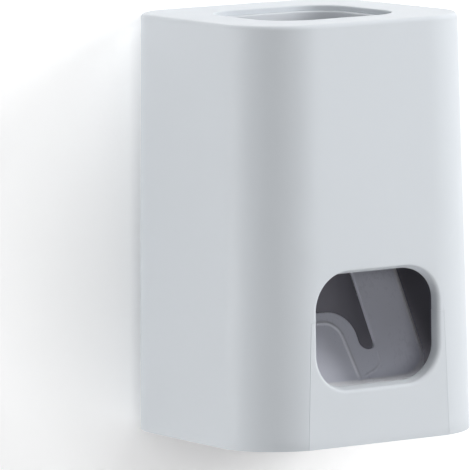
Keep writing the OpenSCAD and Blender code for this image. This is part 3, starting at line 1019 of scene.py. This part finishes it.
@dataclass
class Sill:
    """The insert below and beside the window, flat in front, that closes the cover's notch."""

    cover: Cover
    half_low: float = 24.1
    half_high: float = 22.8
    height: float = 36.0
    round: float = 0.10
    set_back_low: float = 0.22
    set_back_high: float = 0.12
    corner_low: float = 22.0
    corner_in: float = 12.0

    def build(self) -> None:
        """Builds the insert as one closed section carried round the window's lower outline.

        The section runs from the insert's outer edge over its face to the window and back behind.
        Its face lies a little behind the cover's, and less so toward its top. The outer edge's
        points from corner_low down and out to corner_in match those of the window's corner.
        """
        c = self.cover
        line, normal = c.window_edge(self.height, c.window_low, 7)
        down = joined(np.linspace(self.height, self.corner_low, 8)[:-1],
                      np.linspace(self.corner_low, 0, 13))
        over = joined(np.linspace(self.half_low, self.corner_in, 13)[1:],
                      np.linspace(self.corner_in, 0, 5)[1:])
        edge = between(self.half_low, self.half_high, down / self.height)
        target = joined(stacked(edge, down), stacked(over, 0.0))
        line, normal, target = mirrored(line), mirrored(normal), mirrored(target)
        inner, rim = line + normal * (c.window_round + 0.1), line + normal * c.rim
        inward = unit(inner - target)
        offset, depth = quarter(self.round, 3)
        rows = [(target, c.wall)]
        rows += [(target + inward * o, d) for o, d in zip(offset[::-1], depth[::-1])]
        rows += [(between(target, inner, t) + inward * self.round * (1 - t), 0.0)
                 for t in (0.12, 0.5, 1.0)]
        rows += [(line + normal * o[:, None], d) for o, d in zip(*c.edge_rows(normal[:, 1]))]
        rows += [(between(rim, target, t), c.wall) for t in (0.0, 0.5)]
        skin = Skin("sill_insert", "smooth")
        skin.rod(np.stack([stacked(p[:, 0], self._set_back(p[:, 1]) + d - c.depth, p[:, 1])
                           for p, d in rows]), across=True)
        skin.build([Finish.COVER], "cover", "cover_plastic")

    def _set_back(self, z: Array) -> Array:
        """How far behind the cover's front the face lies at a height."""
        return between(self.set_back_low, self.set_back_high, z / self.height)


@dataclass
class TubeGuide:
    """The sleeve under the tube opening, with its ledge and flange."""

    width: float = 41.6
    depth: float = 39.6
    radius: float = 10.8
    centre_y: float = -39.0
    wall: float = 1.5
    flange: float = 5.2
    flange_thick: float = 1.5
    top: float = 118.4
    length: float = 13.6

    def build(self) -> None:
        """Builds the guide: one closed section carried round the opening, along its normals."""
        line, normal = rounded(box(self.width / 2, self.depth / 2, self.radius), steps=12,
                               spacing=6.0)
        low, top = self.top - self.length, self.top - 0.02
        under = top - self.flange_thick
        section, _ = rounded([(0, low, 0.4), (0, top, 0.5), (self.flange, top, 0.3),
                              (self.flange, under, 0.3), (self.wall, under, 0.5),
                              (self.wall, low, 0.4)], steps=4, spacing=4.0)
        flat = line - normal * section[:, :1, None] + np.array([0.0, self.centre_y])
        skin = Skin("tube_guide", "smooth")
        skin.ring(lifted(flat, section[:, 1:]))
        skin.build([Finish.INNER], "cover", "inner_plastic")


# The lever

@dataclass(frozen=True)
class Bead:
    """A raised line on the lever's face.

    Attributes:
        path: its corners as (across, down the lever, radius).
        width: its width.
        height: its height.
        taper: length over which each end fades.
        pale: how pale its crest is as a painted highlight, from 0 to 1.
    """

    path: tuple[Triple, ...]
    width: float
    height: float
    taper: float
    pale: float


@dataclass
class Lever:
    """The sprung push lever: a plate with a tongue between two arms, a rim, hubs and a crossbar."""

    hinge_y: float = -20.0
    hinge_z: float = 66.0
    lean: float = 30.0
    half_w: float = 33.5
    length: float = 62.5
    face: float = 4.0
    plate: float = 2.4
    corner_r: float = 9.3
    rim_low: float = -3.5
    rim: float = 2.0
    rim_round: float = 0.35
    edge_round: float = 2.4
    foot_round: float = 1.5
    slot_round: float = 0.35
    slot_chamfer: float = 1.3
    tongue_half: float = 11.7
    tongue_top: float = 39.3
    tongue_r: float = 8.0
    arm_in: float = 17.0
    slot_end: float = 51.9
    neck: float = 12.0
    neck_r: float = 6.0
    shoulder: float = 26.0
    shoulder_r: float = 8.0
    outer_half: float = 25.0
    outer_bend: float = 9.0
    strip_r: float = 2.6
    fade_from: float = 6.0
    fade_span: float = 14.0
    side_from: float = 18.0
    side_span: float = 12.0
    foot_from: float = 4.0
    foot_span: float = 6.0
    hub_in: float = 22.2
    hub_out: float = 28.2
    hub_r: float = 4.2
    bore_r: float = 1.55
    bar_w: float = -14.258
    bar_v: float = 1.304
    bar_r: float = 2.5
    rest_bead: Bead = Bead(((8.1, 61.2, 1), (6.3, 42.6, 5.4), (-6.3, 42.6, 5.4), (-8.1, 61.2, 1)),
                           width=1.7, height=0.2, taper=2.5, pale=0.22)
    foot_bead: Bead = Bead(((17.0, 52.6, 1), (16.4, 57.6, 4.5), (8.6, 60.6, 1)),
                           width=1.2, height=0.12, taper=3.0, pale=0.1)

    @property
    def _tilt(self) -> tuple[float, float]:
        """Cosine and sine of the lean."""
        return math.cos(math.radians(self.lean)), math.sin(math.radians(self.lean))

    def place(self, x: Any, w: Any, v: Any) -> Array:
        """Points from the lever's axes (across, down the lever, forward of the hinge)."""
        c, s = self._tilt
        return stacked(x, self.hinge_y - w * s - v * c, self.hinge_z - w * c + v * s)

    def locate(self, point: Array) -> tuple[float, float]:
        """How far a point lies down the lever and forward of the hinge.

        Args:
            point: its x, y and z.

        Returns:
            The two distances.
        """
        c, s = self._tilt
        y, z = point[1] - self.hinge_y, point[2] - self.hinge_z
        return -z * c - y * s, z * s - y * c

    def _outline(self) -> tuple[Array, Array, Array]:
        """Outline of the plate in (x, -w), its inward normals and how much of an outer edge it is.

        The outer measure is one on the hub strips' outer sides, the plate's sides and the foot, and
        it fades in below the hinge.

        Returns:
            Points, normals and the outer measure.
        """
        r = (self.arm_in - self.tongue_half) / 2 - 0.001
        right = [(self.half_w, self.length, self.corner_r),
                 (self.half_w, self.shoulder, self.outer_bend),
                 (self.hub_out, self.neck, self.outer_bend),
                 (self.hub_out, self.bar_w, self.strip_r), (self.hub_in, self.bar_w, self.strip_r),
                 (self.hub_in, self.neck, self.neck_r),
                 (self.arm_in, self.shoulder, self.shoulder_r), (self.arm_in, self.slot_end, r),
                 (self.tongue_half, self.slot_end, r),
                 (self.tongue_half, self.tongue_top, self.tongue_r)]
        corners = [(x, -w, radius) for x, w, radius in right]
        corners += [(-x, -w, radius) for x, w, radius in right[::-1]]
        line, normal = rounded(corners, steps=12, spacing=1.5)
        across, down = np.abs(line[:, 0]), -line[:, 1]
        outside = (across > (self.hub_in + self.hub_out) / 2 - 0.01) & (down < self.neck)
        outside |= (across > self.outer_half) & (down >= self.neck)
        outside |= down > self.slot_end + 1.0
        return line, normal, outside * ease(ramp(down, self.fade_from, self.fade_span))

    def _plate(self, skin: Skin) -> None:
        """Adds the plate: rings that follow its outline, offset inward along the normals.

        Down the front edge the offset and depth follow a quarter round, whose radius is small in
        the slots, larger on the foot and largest on the sides. On outer edges the rim then runs
        rearward, turns round its end and comes back to the plate; in the slots a chamfer leads to
        the plate's back. Shares between the two follow the outer measure of each point.

        Args:
            skin: where it goes.
        """
        line, normal, outer = self._outline()
        side = np.maximum(ramp(np.abs(line[:, 0]), self.side_from, self.side_span),
                          ramp(line[:, 1], self.foot_from - self.length, self.foot_span))
        full = between(self.foot_round, self.edge_round, ease(side))
        radius = between(self.slot_round, full, outer)
        back, cut, low, rim = self.face - self.plate, self.slot_chamfer, self.rim_low, self.rim
        end, mid = self.rim_round, CORNER * self.rim_round
        offset, depth = (v[:, None] * radius for v in quarter(1.0, 7))
        rim_rows = np.array([(0, low + end), (mid, low + mid), (end, low), (rim - end, low),
                             (rim - mid, low + mid), (rim, low + end), (rim, back - 0.3),
                             (rim + 0.3, back)])
        slot_rows = np.array([(0, back + cut), (0.1, back + cut - 0.12),
                              (0.5 * cut, back + 0.5 * cut), (0.9 * cut, back + 0.1 * cut),
                              (cut, back + 0.02), (cut + 0.2, back), (cut + 0.4, back),
                              (cut + 0.6, back)])
        rows = between(slot_rows[:, None], rim_rows[:, None], outer[:, None])
        offsets = joined(radius[None] + 0.25, offset, rows[..., 0])
        depths = joined(0 * radius[None] + self.face, self.face - depth, rows[..., 1])
        a = np.linspace(0, math.pi / 2, 8)[1:]
        # painted highlight: pale on the rounded front edge, fading down the rim, on outer edges
        # only
        pale = joined([0.0, 0.35], 1 - 0.3 * np.cos(a), [0.9, 0.8, 0.6, 0.4, 0.2, 0.1, 0.0, 0.0])
        x, w = line[:, 0] + normal[:, 0] * offsets, -(line[:, 1] + normal[:, 1] * offsets)
        skin.rod(self.place(x, w, depths), edge=pale[:, None] * outer)

    def _bead(self, skin: Skin, bead: Bead, side: int = 1) -> None:
        """Adds a raised bead on the face.

        Its section is half a cosine wave over its width, and its height dies away over the taper at
        each end of its path.

        Args:
            skin: where it goes.
            bead: its path and sizes.
            side: 1 as the path says, or -1 for its mirror image.
        """
        line, normal = rounded([(x * side, -w, r) for x, w, r in bead.path], False, 10, 0.8)
        along = joined([0], np.cumsum(np.linalg.norm(np.diff(line, axis=0), axis=1)))
        fade = ramp(np.minimum(along, along[-1] - along), 0, bead.taper)
        s = np.linspace(-1, 1, 11)[:, None]
        rise = bead.height * 0.5 * (1 + np.cos(math.pi * s)) * fade
        x = line[:, 0] + normal[:, 0] * s * bead.width / 2
        w = -(line[:, 1] + normal[:, 1] * s * bead.width / 2)
        flat = 0 * rise[[-1, 0]]
        points = joined(self.place(x, w, self.face + rise),
                        self.place(x[[-1, 0]], w[[-1, 0]], self.face - 0.15 + flat))
        # painted highlight along the crest, fading toward both ends
        crest = joined(bead.pale * (1 - s * s) * np.clip(2 * fade, 0, 1), flat)
        skin.rod(points, across=True, edge=crest)

    def build(self) -> None:
        """Builds the whole lever."""
        skin = Skin("push_lever", "smooth")
        self._plate(skin)
        self._bead(skin, self.rest_bead)
        bore, hub, near, far = self.bore_r, self.hub_r, self.hub_in, self.hub_out
        for side in (1, -1):
            self._bead(skin, self.foot_bead, side)
            ring = turned(soft_profile([(bore, near, 0.2), (hub, near, 0.4), (hub, far, 0.4),
                                        (bore, far, 0.2)]))
            skin.ring(stacked(ring[..., 2] * side, self.hinge_y + ring[..., 0],
                              self.hinge_z + ring[..., 1]))
        section = soft_profile([(0.001, -far, 0.0004), (self.bar_r, -far, 0.5),
                                (self.bar_r, far, 0.5), (0.001, far, 0.0004)])
        bar = turned([(0.0, -far), *(p for p in section if p[0] > 0.1), (0.0, far)])
        skin.grid(self.place(bar[..., 2], self.bar_w + bar[..., 0], self.bar_v + bar[..., 1]),
                  close_columns=True)
        skin.build([Finish.LEVER], "lever", "lever_plastic")


# Soft pieces, springs and the nodes that stay

@dataclass
class SoftParts:
    """The pump's silicone (seat, bulb, nozzle, its seal, two duck-bill valves) and the foam pad."""

    tube_y: float = -39.0
    nozzle_y: float = -44.5
    pump_z: float = 79.0
    seat_z: float = 94.0
    spigot_z: float = 59.8
    nozzle_top: float = 65.2
    chamber_rear: float = 31.9
    pad_w: float = 34.8
    pad_low: float = 14.0
    pad_high: float = 99.0
    pad_bulge: float = 0.35
    head: float = 1.2
    valve_wall: float = 1.0
    lip_w: float = 1.4
    lip_d: float = 0.65
    lip_thin: float = 0.45
    lip_gap: float = 0.12
    lip_from: float = 0.4

    @staticmethod
    def _silicone(node: str, grid: Array) -> bpy.types.Object:
        """Builds a silicone piece from a grid that closes both ways.

        Args:
            node: the node that it stands for.
            grid: its points.

        Returns:
            The finished object.
        """
        skin = Skin(node, "soft")
        skin.ring(grid)
        return skin.build([Finish.SILICONE], "base", "silicone")

    def _standing(self, node: str, y: float, corners: Sequence[Triple]) -> None:
        """Turns a rounded section about an upright axis.

        Args:
            node: the node that the piece stands for.
            y: place of the axis.
            corners: section as (radius, height, rounding).
        """
        self._silicone(node, turned(soft_profile(corners)) + np.array([0.0, y, 0.0]))

    def _bulb(self) -> None:
        """Turns the bulb about the pump's axis: a flange, then a thin dome that ends in a flat."""
        inner = [(7.3, 0.0, 0.3), (7.3, -1.5, 1.0), (6.0, -3.9, 1.2), (3.2, -5.3, 1.0),
                 (0.001, -5.3, 0.0004)]
        outer = [(0.001, -6.5, 0.0004), (3.8, -6.5, 1.4), (7.2, -4.5, 1.6), (8.5, -1.5, 0.3),
                 (11.2, -1.5, 0.3), (11.2, 0.0, 0.3)]
        grid = turned(soft_profile(inner + outer))
        piece = self._silicone("bulb", stacked(grid[..., 0], -self.chamber_rear - grid[..., 2],
                                               self.pump_z + grid[..., 1]))
        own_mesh(piece)

    def _duck_bill(self, node: str, y: float, top: float, flange: float, body: float,
                   length: float) -> None:
        """Builds a duck-bill valve.

        Below its flange the round body flattens by a smooth step into two lips: its depth shrinks
        to the tip's, while its width keeps to the taper.

        Args:
            node: the node that the piece stands for.
            y: place of its axis.
            top: height of the flange's top.
            flange: flange radius.
            body: body radius.
            length: length below the flange's top.
        """
        down = np.linspace(self.head, length, 15)
        step = ease((down - self.head) / (length - self.head))
        start = self.lip_from * length
        width = between(body, self.lip_w, ramp(down, start, length - start))
        depth = body * (1 - step) + self.lip_d * step
        wall, bore = self.valve_wall, body - self.valve_wall
        inner = stacked(width - wall * (1 - self.lip_thin * step),
                        np.maximum(depth - wall, self.lip_gap), down)[::-1]
        head = [[bore, bore, 0.0], [flange, flange, 0.0], [flange, flange, self.head]]
        rows = joined(head, stacked(width, depth, down), inner)[:, None]
        ray = circle(around(48))
        self._silicone(node, stacked(rows[..., 0] * ray[:, 0], y + rows[..., 1] * ray[:, 1],
                                     top - rows[..., 2]))

    def _pad(self) -> None:
        """Builds the foam pad: a rounded rectangle with slightly bulging edges."""
        middle, b = (self.pad_low + self.pad_high) / 2, (self.pad_high - self.pad_low) / 2
        line, normal = rounded(box(self.pad_w / 2, b, 4), spacing=4.0)
        depth = np.linspace(0, 1, 7)[:, None]
        inset = self.pad_bulge * (2 * depth - 1) ** 2
        skin = Skin("adhesive_pad", "foam")
        skin.rod(stacked(line[:, 0] + normal[:, 0] * inset, -depth,
                         middle + line[:, 1] + normal[:, 1] * inset))
        skin.build([Finish.PAD], "base", "pad_foam")

    def build(self) -> None:
        """Builds every soft piece."""
        z, s, top = self.seat_z, self.spigot_z, self.nozzle_top
        self._standing("tube_seat", self.tube_y,
                       [(6.5, z, 0.5), (15.1, z, 0.4), (15.1, z + 7.8, 0.5), (12.5, z + 7.8, 0.9),
                        (6.5, z + 4.8, 0.9)])
        self._standing("nozzle", self.nozzle_y,
                       [(3.2, s - 6.8, 0.3), (4.2, s - 6.8, 0.45), (7.0, s - 1.2, 1.2),
                        (7.0, top, 0.4), (5.55, top, 0.3), (5.55, s - 1.2, 0.2),
                        (3.2, s - 1.2, 0.3)])
        self._standing("nozzle_seal", self.nozzle_y,
                       [(5.55, top, 0.3), (7.0, top, 0.5), (7.0, top + 1.2, 0.5),
                        (5.55, top + 1.2, 0.3)])
        self._bulb()
        self._duck_bill("inlet_valve", self.tube_y, z, flange=8.0, body=3.2, length=9.0)
        self._duck_bill("outlet_valve", self.nozzle_y, s, flange=5.4, body=2.9, length=5.0)
        self._pad()


@dataclass
class Springs:
    """The pair of wound torsion springs round the hinge pin."""

    lever: Lever
    wire: float = 0.6
    coil: float = 2.8
    near: float = 17.5
    far: float = 21.2
    turns: int = 3
    leg_x: float = 18.8
    leg_v: float = 0.95
    leg_low: float = 34.0
    leg_ease: float = 12.0
    rear_top: float = 75.0

    def _path(self) -> Array:
        """Centre line of one spring.

        A straight leg comes down behind the axis, then a helix of constant pitch turns about X. Its
        angle starts at +Y and grows downward first, until its tangent points down the lever. There
        the front leg goes on, and eases over to its place behind the lever's plate.

        Returns:
            Its points.
        """
        lever = self.lever
        y, z = lever.hinge_y, lever.hinge_z
        rear = stacked(self.near, y + self.coil, np.linspace(self.rear_top, z + 0.5, 12))
        end = 2 * math.pi * self.turns + math.pi - math.radians(lever.lean)
        a = np.linspace(0, end, 30 * self.turns)
        helix = stacked(between(self.near, self.far, a / end), y + self.coil * np.cos(a),
                        z - self.coil * np.sin(a))
        w, v = lever.locate(helix[-1])
        down = np.linspace(w + self.wire, self.leg_low, 26)
        t = ease(ramp(down, w, self.leg_ease))
        leg = lever.place(between(self.far, self.leg_x, t), down, between(v, self.leg_v, t))
        return joined(rear, helix, leg)

    def build(self) -> None:
        """Sweeps the wire's circle along the path; its frame is the tangent crossed with X."""
        line = self._path()
        tangent = unit(np.gradient(line, axis=0))
        first = unit(np.cross(tangent, [1.0, 0.0, 0.0]))
        second = np.cross(tangent, first)
        ray = circle(around(12))[..., None]
        ring = ray[:, 0] * first[:, None] + ray[:, 1] * second[:, None]
        skin = Skin("return_springs", "wound")
        for flip in (1.0, MIRROR):
            skin.rod((line[:, None] + self.wire * ring) * flip)
        skin.build([Finish.STEEL], "base", "steel")


class Nodes:
    """Gives the CAD nodes that stay their finishes."""

    FINISHES = {
        Finish.FRAME: ["back_plate", "pump_frame", "seat_ring", "bulb_cap"],
        Finish.INNER: ["pump_chamber"],
        Finish.STEEL: ["frame_screws", "chamber_screws", "hinge_pin", "pin_clips"],
        Finish.LEVER: ["pusher"],
        Finish.BUMPER: ["stop_bumper"],
    }

    def dress(self) -> None:
        """Makes its finish each node's only material."""
        for finish, names in self.FINISHES.items():
            for name in names:
                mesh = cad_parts[name].data
                mesh.materials.clear()
                mesh.materials.append(PAINTS.get(finish))
                LOG.info("%s: %s", name, finish.value.name)


# Stage, light and camera

@dataclass(frozen=True)
class Lamp:
    """A square area lamp.

    Attributes:
        name: its name.
        place: where it stands, in metres.
        size: its side, in metres.
        power: its watts.
        mirrored: whether glossy surfaces show it.
    """

    name: str
    place: Triple
    size: float
    power: float
    mirrored: bool = True

    def add(self, aim: Triple) -> None:
        """Adds the lamp, facing a point.

        Args:
            aim: the point, in metres.
        """
        data = bpy.data.lights.new(self.name, "AREA")
        data.size, data.energy = self.size, self.power
        made = bpy.data.objects.new(self.name, data)
        made.location = self.place
        made.visible_glossy = self.mirrored
        made.rotation_euler = (Vector(aim) - Vector(self.place)).to_track_quat("-Z", "Y").to_euler()
        bpy.context.scene.collection.objects.link(made)


@dataclass(frozen=True)
class Viewpoint:
    """The camera: a long lens from the left and a little above, rolled by 0.9 degrees.

    Attributes:
        eye: where it stands, in metres.
        aim: the point that it faces.
        roll: its turn about the view axis, in radians.
        frame_px: side of the square picture, in pixels.
        focal_px: focal length, in pixels.
        centre_px: the fitted optical centre, in pixels.
        sensor: width of the sensor.
    """

    eye: Triple = (-1.114363, -1.689282, 0.235256)
    aim: Triple = (0.0, -0.028, 0.0035)
    roll: float = 0.0156937
    frame_px: int = 470
    focal_px: float = 7000.0
    centre_px: tuple[float, float] = (283.589, 217.643)
    sensor: float = 36.0

    def add(self) -> None:
        """Adds the camera.

        The view axis is turned so that the optical centre stays where it is without any shift.
        """
        forward = unit(np.array(self.aim) - np.array(self.eye))
        right = unit(np.cross(forward, [0, 0, 1]))
        down = np.cross(forward, right)
        c, s = math.cos(self.roll), math.sin(self.roll)
        right, down = c * right + s * down, -s * right + c * down
        off = ((self.frame_px - 1) / 2 - np.array(self.centre_px)) / self.focal_px
        ahead = unit(forward + right * off[0] + down * off[1])
        right = unit(right - ahead * right.dot(ahead))
        down = np.cross(ahead, right)
        data = bpy.data.cameras.new("camera")
        data.sensor_width = self.sensor
        data.sensor_fit = "HORIZONTAL"
        data.lens = self.focal_px / self.frame_px * self.sensor
        data.clip_start, data.clip_end = 0.05, 20.0
        made = bpy.data.objects.new("camera", data)
        rotation = Matrix([list(v) for v in zip(right, -down, -ahead)]).to_4x4()
        made.matrix_world = Matrix.Translation(Vector(self.eye)) @ rotation
        bpy.context.scene.collection.objects.link(made)
        bpy.context.scene.camera = made


@dataclass
class Studio:
    """A pale wall with a floor far below, soft lamps and the camera."""

    paint: float = 0.86
    glow_scale: Triple = (10.0, 0.0, 11.1)
    glow_shift: Triple = (-0.15, 0.0, 0.15)
    painted_shadow_glow: float = 0.05
    glow_far: float = 0.43
    glow_slope: float = 0.56
    glow_less: float = 0.11
    floor_glow: float = 0.42
    floor_slope: float = 0.3
    floor_less: float = 0.9
    wall_y: float = 0.6
    wall_top: float = 900.0
    cove_top: float = -300.0
    floor_z: float = -560.0
    floor_end: float = -2400.0
    cove: float = 150.0
    half_w: float = 1800.0
    aim: Triple = (0, -0.04, 0)
    lamps: tuple[Lamp, ...] = (
        Lamp("key", (0.85, -0.75, 0.45), 0.6, 9.2, mirrored=False),
        Lamp("overhead", (0.1, -0.5, 1.3), 0.7, 6.3),
        Lamp("rear", (0.3, 1.3, 0.35), 0.8, 3.5),
        Lamp("left", (-1.1, 0.5, -0.16), 0.45, 5.0),
        Lamp("window_fill", (-0.55, -1.27, 0.10), 0.4, 3.4),
    )

    def _backdrop(self) -> None:
        """Builds wall and floor as one sheet: a straight drop, a quarter-round cove, a flat run."""
        rise, run = quarter(self.cove, 16)
        y = joined([self.wall_y] * 2, self.wall_y - run, [self.floor_end])
        z = joined([self.wall_top, self.cove_top], self.floor_z + rise, [self.floor_z])
        grid = stacked(np.array([[-self.half_w], [self.half_w]]), y, z) * MM
        count = len(y)
        index = np.arange(count - 1)
        faces = stacked(index, index + 1, index + 1 + count, index + count)
        mesh = bpy.data.meshes.new("backdrop")
        mesh.from_pydata(grid.reshape(-1, 3).tolist(), [], faces.tolist())
        mesh.polygons.foreach_set("use_smooth", np.ones(count - 1, bool))
        made = bpy.data.objects.new("backdrop", mesh)
        bpy.context.scene.collection.objects.link(made)
        mesh.materials.append(self._paint())

    def _paint(self) -> bpy.types.Material:
        """Matt paint with a faint roller stipple.

        To the camera, and in reflections and clear plastic, it glows a little, less behind the
        object than round it, which is a painted shadow: the glow grows with the distance from a
        point just right of and below the part's middle, divided by 100 mm across and 90 mm up. Far
        out, toward the floor, it glows more, for the camera alone. Seen from its rear, the wall
        isn't there, and it stops no light from the lamp behind it.

        Returns:
            The material.
        """
        s = Shader(bpy.data.materials.new("wall_paint"))
        stipple = s.noise(700.0, 4.0)
        light = [self.paint] * 3
        matt = s.surface(s.blend(stipple, shade(light, 0.995), light), 0.9,
                         s.bump(stipple, 0.03 * MM))
        spot = s.node("ShaderNodeMapping", {}, {"Vector": s.place, "Scale": self.glow_scale,
                                                "Location": self.glow_shift})
        away = s.node("ShaderNodeVectorMath", {"operation": "LENGTH"}, {0: spot}, "Value")
        seen = s.rays("Is Camera Ray")
        # painted shadow: the glow is lowest next to the object and grows away from it
        level = s.clamp(away * self.glow_slope - self.glow_less, self.painted_shadow_glow, self.glow_far)
        floor = s.clamp(away * self.floor_slope - self.floor_less, 0.0, self.floor_glow)
        ray = s.rays("Is Camera Ray", "Is Glossy Ray", "Is Transmission Ray")
        glow = s.node("ShaderNodeEmission", {}, {"Color": (1.0, 1.0, 1.0, 1.0),
                                                 "Strength": ray * level + seen * floor})
        lit = s.node("ShaderNodeAddShader", {}, {0: matt, 1: glow})
        rear = s.node("ShaderNodeNewGeometry", {}, {}, "Backfacing").larger(s.rays("Is Shadow Ray"))
        clear = s.node("ShaderNodeBsdfTransparent", {}, {})
        return s.show(s.node("ShaderNodeMixShader", {}, {0: rear, 1: lit, 2: clear}))

    @staticmethod
    def _world() -> None:
        """Even grey light, with a white background for the camera and for reflections."""
        s = Shader(bpy.data.worlds.new("studio_air"))
        seen = s.rays("Is Camera Ray", "Is Glossy Ray", "Is Transmission Ray")
        ambient = s.node("ShaderNodeBackground", {}, {"Color": (0.93, 0.96, 1.0, 1.0),
                                                      "Strength": 0.02})
        white = s.node("ShaderNodeBackground", {}, {"Color": (1.0, 1.0, 1.0, 1.0)})
        bpy.context.scene.world = s.show(s.node("ShaderNodeMixShader", {},
                                                {0: seen, 1: ambient, 2: white}))

    def build(self) -> None:
        """Builds the stage, the lamps, the world and the camera."""
        self._backdrop()
        self._world()
        for lamp in self.lamps:
            lamp.add(self.aim)
        Viewpoint().add()
        bpy.context.scene.view_settings.view_transform = "Standard"
        LOG.info("studio ready")


def main() -> None:
    """Builds every piece in order."""
    logging.basicConfig(level=logging.INFO, format="%(message)s")
    cover, lever = Cover(), Lever()
    for piece in (cover, Sill(cover), TubeGuide(), lever, SoftParts(), Springs(lever)):
        piece.build()
    Nodes().dress()
    Studio().build()


if __name__ == "__main__":
    main()
